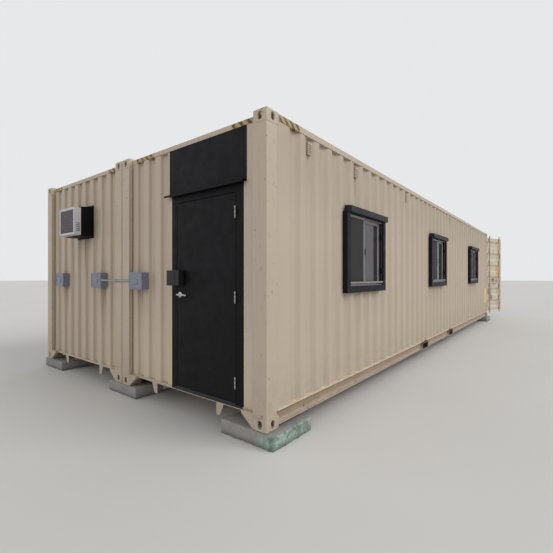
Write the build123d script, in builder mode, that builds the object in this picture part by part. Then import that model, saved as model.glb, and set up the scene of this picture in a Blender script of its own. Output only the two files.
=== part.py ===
from build123d import *
import os
from math import cos, radians, sin

# Cabin made of two forty-foot high-cube shipping containers standing side by side.
# Millimetres. X runs across the front, Y from the front (door end) to the cargo doors, Z up.

# Containers
container_length = 12192
container_width = 2438
container_height = 2896
container_gap = 16
steel = 2
plate = 6

# Concrete blocks under the corners
block_height = 140
block_across = 670
block_along = 608
block_overhang_side = 85
block_overhang_end = 8

# Corner castings
casting_across = 162
casting_along = 178
casting_height = 118
casting_wall = 16
casting_cap = 28.5
slot_length = 124
slot_width = 63.5
end_slot_height = 79
end_slot_width = 51
slot_cut = 18

# Corner posts
front_post_across = 165
front_post_along = 150
front_post_lip = 35
rear_post_across = 46
rear_post_along = 80

# Rails and sills
top_rail_width = 60
top_rail_height = 62
casting_stand_up = 9
bottom_rail_height = 130
bottom_rail_depth = 48
bottom_rail_flange = 44
bottom_rail_clearance = 30
header_height = 50
header_depth = 60
header_drop = 24
front_setback = 50
front_sill_height = 30
front_sill_depth = 90
front_sill_clearance = 120
tunnel_width = 1029
tunnel_length = 3150
tunnel_leg_width = 105
tunnel_leg_foot = 55
gusset_run = 150
rear_frame_setback = 72
rear_frame_depth = 60
rear_header_height = 99
rear_sill_height = 148

# Corrugated side walls
side_pitch = 273
side_lead = 200
side_outer_flat = 72
side_inner_flat = 70
side_depth = 36
side_inset = 6

# Corrugated front walls
front_pitch = 250
front_outer_flat = 110
front_inner_flat = 104
front_depth = 45

# Roof sheets
roof_pitch = 418
roof_outer_flat = 190
roof_inner_flat = 190
roof_depth = 20

# Floor
floor_thickness = 28
cross_member_height = 100
cross_member_flange = 45
cross_member_spacing = 600

# Fork pockets
pocket_width = 352
pocket_height = 110
pocket_spacing = 2050
pocket_centre = 5800

# Entrance doorway, placed from the right-hand face of the cabin
doorway_from_right = 333
door_width = 914
door_height = 2032
door_thickness = 45
door_gap = 5
door_latch_gap = 7
jamb_face = 92
jamb_depth = 90
jamb_stop = 14
door_stop_gap = 5
door_head = 85
door_sill_height = 172
threshold_reach = 8
panel_side_lap = 45
panel_thickness = 6
drip_cap_reach = 55
drip_cap_height = 30
drip_cap_lap = 25

# Entrance hinges
hinge_count = 3
hinge_height = 115
hinge_radius = 9
hinge_pin_radius = 4
hinge_pin_offset = 10
hinge_end_margin = 190
hinge_plate_depth = 34
hinge_plate_thickness = 2
hinge_running_gap = 0.4
knuckle_sides = 12

# Lever and lock box on the entrance door
lever_backset = 52
lever_height = 1018
lever_length = 172
lever_bar = 18
lever_reach = 50
rose_radius = 32
rose_thickness = 9
lever_gap = 0.5
lock_box_width = 218
lock_box_height = 169
lock_box_depth = 72
lock_box_rise = 101
lock_box_overhang = 92
lock_box_standoff = 8
lock_pad_inset = 12

# Windows in the right-hand side wall, placed from the front faces of the castings
window_centres = [2013, 5574, 9440]
window_width = 1056
window_height = 914
window_middle = 1712
surround_face = 63
surround_head = 3
surround_proud = 60
surround_wall = 20
hood_reach = 30
hood_drop = 8
hood_rise = 80
hood_slope = 12
hood_lap = 12
hood_inset = 45
sash_face = 50
sash_depth = 26
meeting_shift = 30
glass_thickness = 6
sill_strip_height = 22
sill_strip_rise = 28

# Small vents under the top side rail
vent_ribs = [1, 5, 12, 23, 32, 39]
vent_height = 128
vent_width = 68
vent_depth = 30
vent_drop = 40

# Air conditioner through the left-hand front wall
sleeve_from_right = 3365
sleeve_width = 470
sleeve_height = 415
sleeve_slope = 24
sleeve_bottom = 1976
sleeve_reach = 131
sleeve_inward = 150
chassis_width = 356
chassis_height = 340
cooler_from_right = 3325
cooler_bottom = 1986
cooler_width = 490
cooler_height = 386
cooler_reach = 225
cooler_inward = 120
cooler_shell = 14
grille_bar = 8
grille_pitch = 44

# Grey wall boxes and the conduit between two of them
box_places = [4160, 2935, 1920]
box_width = 284
box_height = 206
box_depth = 96
box_bottom = 1235
box_cover = 8
conduit_radius = 13
conduit_clearance = 4

# Cargo doors
cargo_pin_inset = 12
cargo_pin_setback = 8
cargo_leaf_angle = 107
cargo_meeting_gap = 12
cargo_edge_gap = 10
cargo_leaf_depth = 50
cargo_leaf_setback = 62
cargo_bottom_gap = 12
cargo_stile = 60
cargo_rail = 90
cargo_rib_pitch = 420
cargo_rib_flat = 150
cargo_rib_inner = 150
cargo_rib_depth = 36
rod_radius = 17
rod_places = [290, 1010]
rod_end_reach = 70
cam_width = 40
cam_height = 45
bracket_width = 90
bracket_height = 50
bracket_count = 4
gasket_width = 8
cargo_hinge_count = 4
cargo_hinge_height = 90
cargo_hinge_radius = 13
cargo_lug_height = 14
cargo_strap_length = 110
cargo_strap_thickness = 12

# How far the open leaf and the air conditioner reach past the containers
leaf_length = container_width / 2 - cargo_pin_inset - cargo_meeting_gap / 2
leaf_swing_x = leaf_length * sin(radians(cargo_leaf_angle - 90)) - cargo_leaf_setback - cargo_pin_inset
leaf_swing_y = leaf_length * cos(radians(cargo_leaf_angle - 90))

# The origin is the middle of the ground under the whole cabin as it stands
cabin_x = (block_overhang_side - leaf_swing_x) / 2
cabin_y = (cooler_reach - leaf_swing_y) / 2
half_pair = (container_width + container_gap) / 2
centres = [cabin_x + half_pair, cabin_x - half_pair]
half_width = container_width / 2
right_face = centres[0] + half_width
y_front = cabin_y - container_length / 2
y_rear = cabin_y + container_length / 2
z_base = block_height
z_top = z_base + container_height
z_floor = z_base + bottom_rail_clearance + bottom_rail_height
z_rail_top = z_top - casting_stand_up
z_rail_low = z_rail_top - top_rail_height
y_wall_start = y_front + front_post_along
y_wall_end = y_rear - rear_frame_setback - rear_post_along
y_front_frame = y_front + front_setback
y_rear_frame = y_rear - rear_frame_setback
z_head_top = z_top - header_drop
z_head_low = z_head_top - header_height


def sheet(path, thickness):
    """Closed outline of a folded sheet: the path and its mitred offset to the left."""
    directions = [(Vector(*b) - Vector(*a)).normalized() for a, b in zip(path, path[1:])]
    normals = [Vector(-d.Y, d.X) for d in directions]
    shifted = []
    for i, point in enumerate(path):
        before = normals[max(i - 1, 0)]
        after = normals[min(i, len(normals) - 1)]
        shift = (before + after) * (thickness / (1 + before.dot(after)))
        shifted.append((point[0] + shift.X, point[1] + shift.Y))
    return list(path) + shifted[::-1]


def hollow_count(length, pitch, outer):
    """Whole hollows that fit a length of corrugated sheet, with a sliver of flat at each end."""
    return int((length + outer - 2 * steel) // pitch)


def corrugation(length, pitch, outer, inner, depth, lead=None):
    """Trapezoid wave along a length: whole hollows, centred or after a given lead of flat sheet."""
    count = hollow_count(length - (lead or 0), pitch, outer)
    slope = (pitch - outer - inner) / 2
    path = [(0, 0)]
    at = lead or (length - count * pitch + outer) / 2
    for _ in range(count):
        path += [(at, 0), (at + slope, depth), (at + slope + inner, depth), (at + 2 * slope + inner, 0)]
        at += pitch
    return path + [(length, 0)]


def save(piece, name):
    """Name a finished piece and write it."""
    piece.part.label = name
    export_step(piece.part, f"parts/{name}.step")


os.makedirs("parts", exist_ok=True)


# Concrete blocks: one under each outer corner, one under each pair of inner corners
block_xs = [
    right_face + block_overhang_side - block_across / 2,
    cabin_x,
    2 * cabin_x - right_face - block_overhang_side + block_across / 2,
]
block_ys = [y_front - block_overhang_end + block_along / 2, y_rear + block_overhang_end - block_along / 2]
with BuildPart() as concrete_blocks:
    with Locations([(x, y, 0) for x in block_xs for y in block_ys]):
        Box(block_across, block_along, block_height, align=(Align.CENTER, Align.CENTER, Align.MIN))
save(concrete_blocks, "concrete_blocks")


def castings(z_low, outward):
    """Eight hollow castings with slotted holes; outward is +1 for the tops and -1 for the feet."""
    with BuildPart() as pieces:
        for cx in centres:
            for side in (-1, 1):
                for end in (-1, 1):
                    x = cx + side * (half_width - casting_across / 2)
                    y = cabin_y + end * (container_length - casting_along) / 2
                    z = z_low + casting_height / 2
                    with Locations((x, y, z)):
                        Box(casting_across, casting_along, casting_height)
                    with Locations((x, y, z - outward * (casting_cap - casting_wall) / 2)):
                        Box(
                            casting_across - 2 * casting_wall,
                            casting_along - 2 * casting_wall,
                            casting_height - casting_cap - casting_wall,
                            mode=Mode.SUBTRACT,
                        )
                    with BuildSketch(Plane.XY.offset(z)) as cap_slot:
                        with Locations((x, y)):
                            Rectangle(slot_width, slot_length)
                        chamfer(cap_slot.vertices(), slot_cut)
                    extrude(amount=outward * casting_height, mode=Mode.SUBTRACT)
                    with BuildSketch(Plane.YZ.offset(x)):
                        with Locations((y, z)):
                            Rectangle(end_slot_width, end_slot_height)
                    extrude(amount=side * casting_across, mode=Mode.SUBTRACT)
                    with BuildSketch(Plane.XZ.offset(-y)):
                        with Locations((x, z)):
                            Rectangle(end_slot_width, end_slot_height)
                    extrude(amount=-end * casting_along, mode=Mode.SUBTRACT)
    return pieces


top_castings = castings(z_top - casting_height, 1)
save(top_castings, "top_castings")
bottom_castings = castings(z_base, -1)
save(bottom_castings, "bottom_castings")


# Corner posts stand between the castings: folded plate at the front, box sections at the rear
post_foot = z_base + casting_height
post_length = container_height - 2 * casting_height
with BuildPart() as front_posts:
    with BuildSketch(Plane.XY.offset(post_foot)):
        for cx in centres:
            for side in (-1, 1):
                face = cx + side * half_width
                path = [
                    (face - side * front_post_lip, y_front + front_post_along),
                    (face, y_front + front_post_along),
                    (face, y_front),
                    (face - side * front_post_across, y_front),
                    (face - side * front_post_across, y_front + front_setback),
                ]
                with BuildLine():
                    Polyline(*sheet(path, -side * plate), close=True)
                make_face()
    extrude(amount=post_length)
save(front_posts, "front_posts")

with BuildPart() as rear_posts:
    with BuildSketch(Plane.XY.offset(post_foot)):
        for cx in centres:
            for side in (-1, 1):
                x = cx + side * (half_width - rear_post_across / 2)
                with Locations((x, y_rear_frame - rear_post_along / 2)):
                    Rectangle(rear_post_across, rear_post_along)
                    Rectangle(rear_post_across - 2 * plate, rear_post_along - 2 * plate, mode=Mode.SUBTRACT)
    extrude(amount=post_length)
save(rear_posts, "rear_posts")


# Top side rails: square tube between the castings
rail_length = container_length - 2 * casting_along
with BuildPart() as top_side_rails:
    with BuildSketch(Plane.XZ.offset(-(y_front + casting_along))):
        for cx in centres:
            for side in (-1, 1):
                x = cx + side * (half_width - top_rail_width / 2)
                with Locations((x, z_rail_top - top_rail_height / 2)):
                    Rectangle(top_rail_width, top_rail_height)
                    Rectangle(top_rail_width - 2 * plate, top_rail_height - 2 * plate, mode=Mode.SUBTRACT)
    extrude(amount=-rail_length)
save(top_side_rails, "top_side_rails")


# Bottom side rails: channels open to the outside, cut at the fork pockets
pocket_ys = [y_front + pocket_centre - pocket_spacing / 2, y_front + pocket_centre + pocket_spacing / 2]
rail_ends = [y_front + casting_along]
for y in pocket_ys:
    rail_ends += [y - pocket_width / 2 - plate, y + pocket_width / 2 + plate]
rail_ends.append(y_rear - casting_along)
z_bottom_rail = z_base + bottom_rail_clearance
with BuildPart() as bottom_side_rails:
    for start, stop in zip(rail_ends[::2], rail_ends[1::2]):
        with BuildSketch(Plane.XZ.offset(-start)):
            for cx in centres:
                for side in (-1, 1):
                    face = cx + side * half_width
                    path = [
                        (face, z_bottom_rail),
                        (face - side * bottom_rail_depth, z_bottom_rail),
                        (face - side * bottom_rail_depth, z_floor),
                        (face - side * (bottom_rail_depth - bottom_rail_flange), z_floor),
                    ]
                    with BuildLine():
                        Polyline(*sheet(path, -side * plate), close=True)
                    make_face()
        extrude(amount=start - stop)
save(bottom_side_rails, "bottom_side_rails")


# Fork pockets: flat tubes that run right across under each floor
z_pocket = z_floor - floor_thickness - plate - pocket_height / 2
with BuildPart() as fork_pockets:
    for cx in centres:
        with BuildSketch(Plane.YZ.offset(cx - half_width)):
            with Locations([(y, z_pocket) for y in pocket_ys]):
                Rectangle(pocket_width + 2 * plate, pocket_height + 2 * plate)
                Rectangle(pocket_width, pocket_height, mode=Mode.SUBTRACT)
        extrude(amount=container_width)
save(fork_pockets, "fork_pockets")


# Cross members under the floor, kept clear of the pockets
member_width = container_width - 2 * bottom_rail_depth
member_top = z_floor - floor_thickness
first_member = y_front + casting_along + cross_member_flange
last_member = y_rear - casting_along - 2 * cross_member_flange
member_count = int((last_member - first_member) // cross_member_spacing) + 1
member_ys = [
    y
    for y in (first_member + i * (last_member - first_member) / (member_count - 1) for i in range(member_count))
    if min(abs(y - p) for p in pocket_ys) > pocket_width / 2 + plate + cross_member_flange
]
tunnel_end = y_front + tunnel_length
beside_tunnel = (member_width - tunnel_width) / 2 - 2 * plate


def member_row(ys, x_start, width):
    """Channels that run across under the floor, all starting at one x."""
    with BuildPart() as row:
        with BuildSketch(Plane.YZ.offset(x_start)):
            for y in ys:
                path = [
                    (y + cross_member_flange, member_top),
                    (y, member_top),
                    (y, member_top - cross_member_height),
                    (y + cross_member_flange, member_top - cross_member_height),
                ]
                with BuildLine():
                    Polyline(*sheet(path, plate), close=True)
                make_face()
        extrude(amount=width)
    return row.part


with BuildPart() as cross_members:
    for cx in centres:
        beyond = [y for y in member_ys if y > tunnel_end]
        beside = [y for y in member_ys if y + cross_member_flange < tunnel_end]
        add(member_row(beyond, cx - member_width / 2, member_width))
        add(member_row(beside, cx - member_width / 2, beside_tunnel))
        add(member_row(beside, cx + member_width / 2 - beside_tunnel, beside_tunnel))
save(cross_members, "cross_members")


# Gooseneck tunnels: a folded pan let into the underside behind the front sill
with BuildPart() as tunnel_pans:
    for cx in centres:
        path = [
            (cx - tunnel_width / 2 - plate, z_base + bottom_rail_clearance),
            (cx - tunnel_width / 2 - plate, member_top),
            (cx + tunnel_width / 2 + plate, member_top),
            (cx + tunnel_width / 2 + plate, z_base + bottom_rail_clearance),
        ]
        with BuildSketch(Plane.XZ.offset(-(y_front_frame + front_sill_depth))):
            with BuildLine():
                Polyline(*sheet(path, -plate), close=True)
            make_face()
        extrude(amount=-(tunnel_length - front_setback - front_sill_depth))
save(tunnel_pans, "tunnel_pans")


# Plywood floors
floor_start = y_front_frame + front_sill_depth
floor_stop = y_rear_frame - rear_frame_depth
with BuildPart() as floor_boards:
    for cx in centres:
        with Locations((cx, (floor_start + floor_stop) / 2, z_floor)):
            Box(
                member_width,
                floor_stop - floor_start,
                floor_thickness,
                align=(Align.CENTER, Align.CENTER, Align.MAX),
            )
save(floor_boards, "floor_boards")


# Roof sheets with shallow ribs across
roof_start = y_front + casting_along
roof_stop = y_rear - casting_along
with BuildPart() as roof_panels:
    for cx in centres:
        wave = corrugation(roof_stop - roof_start, roof_pitch, roof_outer_flat, roof_inner_flat, roof_depth)
        path = [(roof_start + s, z_rail_top - d) for s, d in wave]
        with BuildSketch(Plane.YZ.offset(cx - half_width + top_rail_width)):
            with BuildLine():
                Polyline(*sheet(path, -steel), close=True)
            make_face()
        extrude(amount=container_width - 2 * top_rail_width)
save(roof_panels, "roof_panels")


# Front headers, sills with tunnel legs and corner gussets
between_posts = container_width - 2 * front_post_across
with BuildPart() as front_headers:
    with BuildSketch(Plane.YZ.offset(centres[1] - between_posts / 2)) as header_section:
        with Locations((y_front_frame + header_depth / 2, (z_head_top + z_head_low) / 2)):
            Rectangle(header_depth, z_head_top - z_head_low)
            Rectangle(header_depth - 2 * plate, z_head_top - z_head_low - 2 * plate, mode=Mode.SUBTRACT)
    extrude(amount=between_posts)
    with BuildSketch(Plane.YZ.offset(centres[0] - between_posts / 2)):
        add(header_section.sketch_local)
    extrude(amount=between_posts)
    for cx in centres:
        with Locations((cx, y_front_frame + header_depth, z_rail_top)):
            Box(
                container_width - 2 * casting_across,
                casting_along - front_setback - header_depth,
                z_rail_top - z_head_top + plate,
                align=(Align.CENTER, Align.MIN, Align.MAX),
            )
save(front_headers, "front_headers")

z_sill_low = z_base + front_sill_clearance
z_sill_top = z_sill_low + front_sill_height
with BuildPart() as front_sills:
    for cx in centres:
        inner_post = half_width - casting_across
        leg_in = tunnel_width / 2
        with BuildSketch(Plane.XZ.offset(-y_front_frame)):
            right_half = [
                (cx, z_sill_top),
                (cx + inner_post, z_sill_top),
                (cx + inner_post, z_sill_low),
                (cx + leg_in + tunnel_leg_width, z_sill_low),
                (cx + leg_in + tunnel_leg_foot, z_base),
                (cx + leg_in, z_base),
                (cx + leg_in, z_sill_low),
                (cx, z_sill_low),
            ]
            with BuildLine():
                Polyline(*right_half, close=True)
            make_face()
            left_half = [(2 * cx - x, z) for x, z in right_half]
            with BuildLine():
                Polyline(*left_half, close=True)
            make_face()
        extrude(amount=-plate)
        with Locations((cx, y_front_frame + front_sill_depth / 2, z_sill_top)):
            Box(
                2 * inner_post,
                front_sill_depth,
                front_sill_height,
                align=(Align.CENTER, Align.CENTER, Align.MAX),
            )
        with BuildSketch(Plane.XZ.offset(-(y_front + steel))):
            for side in (-1, 1):
                with BuildLine():
                    Polyline(
                        (cx + side * (half_width - front_post_across), z_sill_top - steel),
                        (cx + side * (half_width - front_post_across), post_foot),
                        (cx + side * inner_post, post_foot),
                        (cx + side * inner_post, z_base),
                        (cx + side * (inner_post - gusset_run), z_sill_low),
                        (cx + side * (inner_post - gusset_run), z_sill_top - steel),
                        close=True,
                    )
                make_face()
        extrude(amount=-(front_setback + plate))
save(front_sills, "front_sills")


# Rear headers and sills
def rear_beam(z_low, height):
    """Box beam across the cargo end of each container, between the corner castings."""
    with BuildPart() as beams:
        for cx in centres:
            with BuildSketch(Plane.YZ.offset(cx - half_width + casting_across)):
                with Locations((y_rear_frame - rear_frame_depth / 2, z_low + height / 2)):
                    Rectangle(rear_frame_depth, height)
                    Rectangle(rear_frame_depth - 2 * plate, height - 2 * plate, mode=Mode.SUBTRACT)
            extrude(amount=container_width - 2 * casting_across)
    return beams


with BuildPart() as rear_beams:
    add(rear_beam(z_rail_top - rear_header_height, rear_header_height).part)
    add(rear_beam(z_floor - rear_sill_height, rear_sill_height).part)
    for cx in centres:
        with Locations((cx, y_rear - casting_along, z_rail_top)):
            Box(
                container_width - 2 * casting_across,
                casting_along - rear_frame_setback - rear_frame_depth,
                plate,
                align=(Align.CENTER, Align.MIN, Align.MAX),
            )
save(rear_beams, "rear_beams")


def side_wall(face, side):
    """Corrugated wall along one side, between the bottom and the top side rail."""
    length = y_wall_end - y_wall_start
    wave = corrugation(length, side_pitch, side_outer_flat, side_inner_flat, side_depth, side_lead)
    path = [(face - side * (side_inset + d), y_wall_start + s) for s, d in wave]
    with BuildPart() as wall:
        with BuildSketch(Plane.XY.offset(z_floor)):
            with BuildLine():
                Polyline(*sheet(path, side * steel), close=True)
            make_face()
        extrude(amount=z_rail_low - z_floor)
        with BuildSketch(Plane.XY.offset(z_top - casting_height)):
            for y in (y_front + casting_along / 2, y_rear - casting_along / 2):
                with Locations((face - side * casting_across / 2, y)):
                    Rectangle(casting_across, casting_along)
        extrude(amount=casting_height, mode=Mode.SUBTRACT)
    return wall


z_window = z_base + window_middle
window_ys = [y_front + along for along in window_centres]
with BuildPart() as side_wall_right:
    add(side_wall(right_face, 1).part)
    with BuildSketch(Plane.YZ.offset(right_face - side_depth - 2 * side_inset)):
        with Locations([(y, z_window) for y in window_ys]):
            Rectangle(window_width, window_height)
    extrude(amount=side_depth + 2 * side_inset, mode=Mode.SUBTRACT)
save(side_wall_right, "side_wall_right")

with BuildPart() as inner_walls:
    add(side_wall(centres[0] - half_width, -1).part)
    add(side_wall(centres[1] + half_width, 1).part)
save(inner_walls, "inner_walls")
side_wall_left = side_wall(centres[1] - half_width, -1)
save(side_wall_left, "side_wall_left")


# Entrance doorway: every place in it is measured from the right-hand face
door_opening = door_width + door_gap + door_latch_gap
frame_right = right_face - doorway_from_right
frame_left = frame_right - door_opening - 2 * jamb_face
hinge_side = frame_right - jamb_face
latch_side = frame_left + jamb_face
door_right = hinge_side - door_gap
door_left = latch_side + door_latch_gap
z_door = z_base + door_sill_height
z_door_top = z_door + door_height
z_frame_low = z_sill_top
z_head_opening = z_door_top + door_gap
z_frame_top = z_head_opening + door_head
y_door_face = y_front_frame
y_stop = y_door_face + door_thickness + door_stop_gap


def front_wall(x_low, x_high):
    """Corrugated sheet of the front end, between two places across."""
    wave = corrugation(x_high - x_low, front_pitch, front_outer_flat, front_inner_flat, front_depth)
    path = [(x_low + s, y_front_frame + plate + d) for s, d in wave]
    with BuildPart() as wall:
        with BuildSketch(Plane.XY.offset(z_sill_top)):
            with BuildLine():
                Polyline(*sheet(path, steel), close=True)
            make_face()
        extrude(amount=z_head_low - z_sill_top)
    return wall


sleeve_right = right_face - sleeve_from_right
sleeve_left = sleeve_right - sleeve_width
z_sleeve = z_base + sleeve_bottom
with BuildPart() as front_wall_left:
    add(front_wall(centres[1] - half_width + front_post_across, centres[1] + half_width - front_post_across).part)
    with Locations(((sleeve_left + sleeve_right) / 2, y_front_frame + front_depth / 2, z_sleeve)):
        Box(
            sleeve_width,
            3 * front_depth,
            sleeve_height + sleeve_slope,
            align=(Align.CENTER, Align.CENTER, Align.MIN),
            mode=Mode.SUBTRACT,
        )
save(front_wall_left, "front_wall_left")

front_wall_right = front_wall(centres[0] - half_width + front_post_across, frame_left)
save(front_wall_right, "front_wall_right")

# Strip of wall left between the doorway and the corner post
with BuildPart() as front_wall_strip:
    with BuildSketch(Plane.XY.offset(z_sill_top)):
        path = [
            (right_face - front_post_across, y_front_frame + plate),
            (frame_right + plate, y_front_frame + plate),
            (frame_right + plate, y_front_frame + jamb_depth),
        ]
        with BuildLine():
            Polyline(*sheet(path, -steel), close=True)
        make_face()
    extrude(amount=z_head_low - z_sill_top)
save(front_wall_strip, "front_wall_strip")


# Black door frame: two jambs and a head with a stop behind the leaf
with BuildPart() as entrance_frame:
    with BuildSketch(Plane.XY.offset(z_frame_low)):
        for outer, opening, inward in ((frame_left, latch_side, 1), (frame_right, hinge_side, -1)):
            with BuildLine():
                Polyline(
                    (outer, y_door_face),
                    (opening, y_door_face),
                    (opening, y_stop),
                    (opening + inward * jamb_stop, y_stop),
                    (opening + inward * jamb_stop, y_door_face + jamb_depth),
                    (outer, y_door_face + jamb_depth),
                    close=True,
                )
            make_face()
    extrude(amount=z_frame_top - z_frame_low)
    with BuildSketch(Plane.YZ.offset(latch_side)):
        with BuildLine():
            Polyline(
                (y_door_face, z_frame_top),
                (y_door_face, z_head_opening),
                (y_stop, z_head_opening),
                (y_stop, z_head_opening - jamb_stop),
                (y_door_face + jamb_depth, z_head_opening - jamb_stop),
                (y_door_face + jamb_depth, z_frame_top),
                close=True,
            )
        make_face()
    extrude(amount=door_opening)
save(entrance_frame, "entrance_frame")

# Sloping threshold on the sill
with BuildPart() as door_threshold:
    with BuildSketch(Plane.YZ.offset(latch_side)):
        with BuildLine():
            Polyline(
                (y_door_face - threshold_reach, z_sill_top),
                (y_stop, z_sill_top),
                (y_stop, z_door - door_gap),
                (y_door_face, z_door - door_gap),
                (y_door_face - threshold_reach, z_sill_top + plate),
                close=True,
            )
        make_face()
    extrude(amount=door_opening)
save(door_threshold, "door_threshold")

# Flat panel above the doorway with a drip cap along its foot
with BuildPart() as transom_panel:
    with Locations((frame_right + panel_side_lap, y_front_frame + plate, z_frame_top)):
        Box(
            frame_right - frame_left + 2 * panel_side_lap,
            panel_thickness,
            z_head_low - z_frame_top,
            align=(Align.MAX, Align.MAX, Align.MIN),
        )
save(transom_panel, "transom_panel")

with BuildPart() as drip_cap:
    with BuildSketch(Plane.YZ.offset(frame_left - panel_side_lap - drip_cap_lap)):
        path = [
            (y_front_frame, z_frame_top + drip_cap_height),
            (y_front_frame, z_frame_top + drip_cap_height / 2),
            (y_front_frame - drip_cap_reach, z_frame_top + plate),
            (y_front_frame - drip_cap_reach, z_frame_top - drip_cap_height / 2),
        ]
        with BuildLine():
            Polyline(*sheet(path, -steel), close=True)
        make_face()
    extrude(amount=frame_right - frame_left + 2 * panel_side_lap + drip_cap_lap)
save(drip_cap, "drip_cap")


# Entrance leaf, hinged on the right
with BuildPart() as entrance_leaf:
    with Locations((door_right, y_door_face, z_door)):
        Box(door_width, door_thickness, door_height, align=(Align.MAX, Align.MIN, Align.MIN))
save(entrance_leaf, "entrance_leaf")

# Butt hinges: the frame carries the pin and the end knuckles, the leaf the middle knuckle
pin_x = hinge_side - door_gap / 2
pin_y = y_door_face - hinge_pin_offset
hinge_zs = [
    z_door + hinge_end_margin + i * (door_height - 2 * hinge_end_margin) / (hinge_count - 1)
    for i in range(hinge_count)
]
knuckle = hinge_height / 3
with BuildPart() as frame_hinges:
    for z in hinge_zs:
        with BuildSketch(Plane.XY.offset(z - hinge_height / 2)):
            with Locations((pin_x, pin_y)):
                RegularPolygon(hinge_pin_radius, knuckle_sides)
        extrude(amount=hinge_height)
        for shift in (-knuckle, knuckle):
            with BuildSketch(Plane.XY.offset(z + shift - (knuckle - hinge_running_gap) / 2)):
                with Locations((pin_x, pin_y)):
                    RegularPolygon(hinge_radius, knuckle_sides)
                with Locations((hinge_side, pin_y + 2 * hinge_pin_radius)):
                    Rectangle(
                        hinge_plate_thickness,
                        hinge_plate_depth + hinge_pin_radius / 2,
                        align=(Align.MAX, Align.MIN),
                    )
            extrude(amount=knuckle - hinge_running_gap)
save(frame_hinges, "frame_hinges")

with BuildPart() as leaf_hinges:
    for z in hinge_zs:
        with BuildSketch(Plane.XY.offset(z - knuckle / 2 + hinge_running_gap)):
            with Locations((pin_x, pin_y)):
                RegularPolygon(hinge_radius, knuckle_sides)
            with Locations((door_right, pin_y + 2 * hinge_pin_radius)):
                Rectangle(
                    hinge_plate_thickness,
                    hinge_plate_depth + hinge_pin_radius / 2,
                    align=(Align.MIN, Align.MIN),
                )
            with Locations((pin_x, pin_y)):
                Circle(hinge_pin_radius + hinge_running_gap, mode=Mode.SUBTRACT)
        extrude(amount=knuckle - 2 * hinge_running_gap)
save(leaf_hinges, "leaf_hinges")

# Lock box above the lever, held by the leaf and reaching across the jamb
lever_x = door_left + lever_backset
z_lever = z_door + lever_height
with BuildPart() as lock_box:
    with Locations((door_left - lock_box_overhang, y_door_face - lock_box_standoff, z_lever + lock_box_rise)):
        Box(lock_box_width, lock_box_depth, lock_box_height, align=(Align.MIN, Align.MAX, Align.MIN))
    front_face = lock_box.faces().sort_by(Axis.Y)[0]
    fillet(front_face.edges(), radius=plate)
    pad_height = lock_box_height - 2 * lock_pad_inset
    with Locations((door_left + lock_pad_inset, y_door_face, z_lever + lock_box_rise + lock_box_height / 2)):
        Box(
            lock_box_width - lock_box_overhang - 2 * lock_pad_inset,
            lock_box_standoff,
            pad_height,
            align=(Align.MIN, Align.MAX, Align.CENTER),
        )
save(lock_box, "lock_box")

with BuildPart() as lever_rose:
    with BuildSketch(Plane.XZ.offset(-y_door_face)):
        with Locations((lever_x, z_lever)):
            RegularPolygon(rose_radius, 2 * knuckle_sides)
    extrude(amount=rose_thickness)
save(lever_rose, "lever_rose")

with BuildPart() as lever_handle:
    with Locations((lever_x - lever_bar / 2, y_door_face - lever_reach, z_lever)):
        Box(lever_length, lever_bar / 2, lever_bar, align=(Align.MIN, Align.CENTER, Align.CENTER))
    fillet(lever_handle.edges().filter_by(Axis.X), radius=lever_bar / 5)
    with BuildSketch(Plane.XZ.offset(-(y_door_face - rose_thickness - lever_gap))):
        with Locations((lever_x, z_lever)):
            Circle(lever_bar / 3)
    extrude(amount=lever_reach - rose_thickness)
save(lever_handle, "lever_handle")


# Windows: black surround, sloping hood, sliding sashes and glass
surround_outer_width = window_width + 2 * surround_face
surround_outer_height = window_height + surround_face + surround_head
z_surround = z_window + (surround_head - surround_face) / 2
x_surround = right_face + surround_proud
window_depth = surround_proud + side_inset + side_depth + surround_wall
with BuildPart() as window_surrounds:
    with BuildSketch(Plane.YZ.offset(right_face - side_inset)):
        with Locations([(y, z_surround) for y in window_ys]):
            Rectangle(surround_outer_width, surround_outer_height)
        with Locations([(y, z_window) for y in window_ys]):
            Rectangle(window_width - 2 * surround_wall, window_height - 2 * surround_wall, mode=Mode.SUBTRACT)
    extrude(amount=surround_proud + side_inset)
    with BuildSketch(Plane.YZ.offset(x_surround - window_depth)):
        with Locations([(y, z_window) for y in window_ys]):
            Rectangle(window_width, window_height)
            Rectangle(window_width - 2 * surround_wall, window_height - 2 * surround_wall, mode=Mode.SUBTRACT)
    extrude(amount=window_depth)
save(window_surrounds, "window_surrounds")

z_surround_top = z_window + window_height / 2 + surround_head
with BuildPart() as window_hoods:
    for y in window_ys:
        with BuildSketch(Plane.XZ.offset(-(y - surround_outer_width / 2 + hood_inset))):
            with BuildLine():
                Polyline(
                    (right_face - side_inset, z_surround_top),
                    (x_surround, z_surround_top),
                    (x_surround, z_surround_top - hood_drop),
                    (x_surround + hood_reach, z_surround_top - hood_drop),
                    (x_surround + hood_reach, z_surround_top + hood_rise - hood_slope),
                    (right_face - side_inset, z_surround_top + hood_rise),
                    close=True,
                )
            make_face()
        extrude(amount=-(surround_outer_width - hood_inset + hood_lap))
save(window_hoods, "window_hoods")

clear_width = window_width - 2 * surround_wall
clear_height = window_height - 2 * surround_wall
fixed_x = right_face - side_inset - sash_depth
slider_x = fixed_x + sash_depth
glass_places = []
with BuildPart() as window_sashes:
    for y in window_ys:
        for x, shift in ((fixed_x, 1), (slider_x, -1)):
            sash_width = (clear_width + sash_face) / 2 + shift * meeting_shift
            middle = y + shift * (clear_width - sash_width) / 2
            glass_places.append((x + sash_depth / 2, middle, sash_width - 2 * sash_face))
            with BuildSketch(Plane.YZ.offset(x)):
                with Locations((middle, z_window)):
                    Rectangle(sash_width, clear_height)
                    Rectangle(sash_width - 2 * sash_face, clear_height - 2 * sash_face, mode=Mode.SUBTRACT)
            extrude(amount=sash_depth - hinge_running_gap)
save(window_sashes, "window_sashes")

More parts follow.
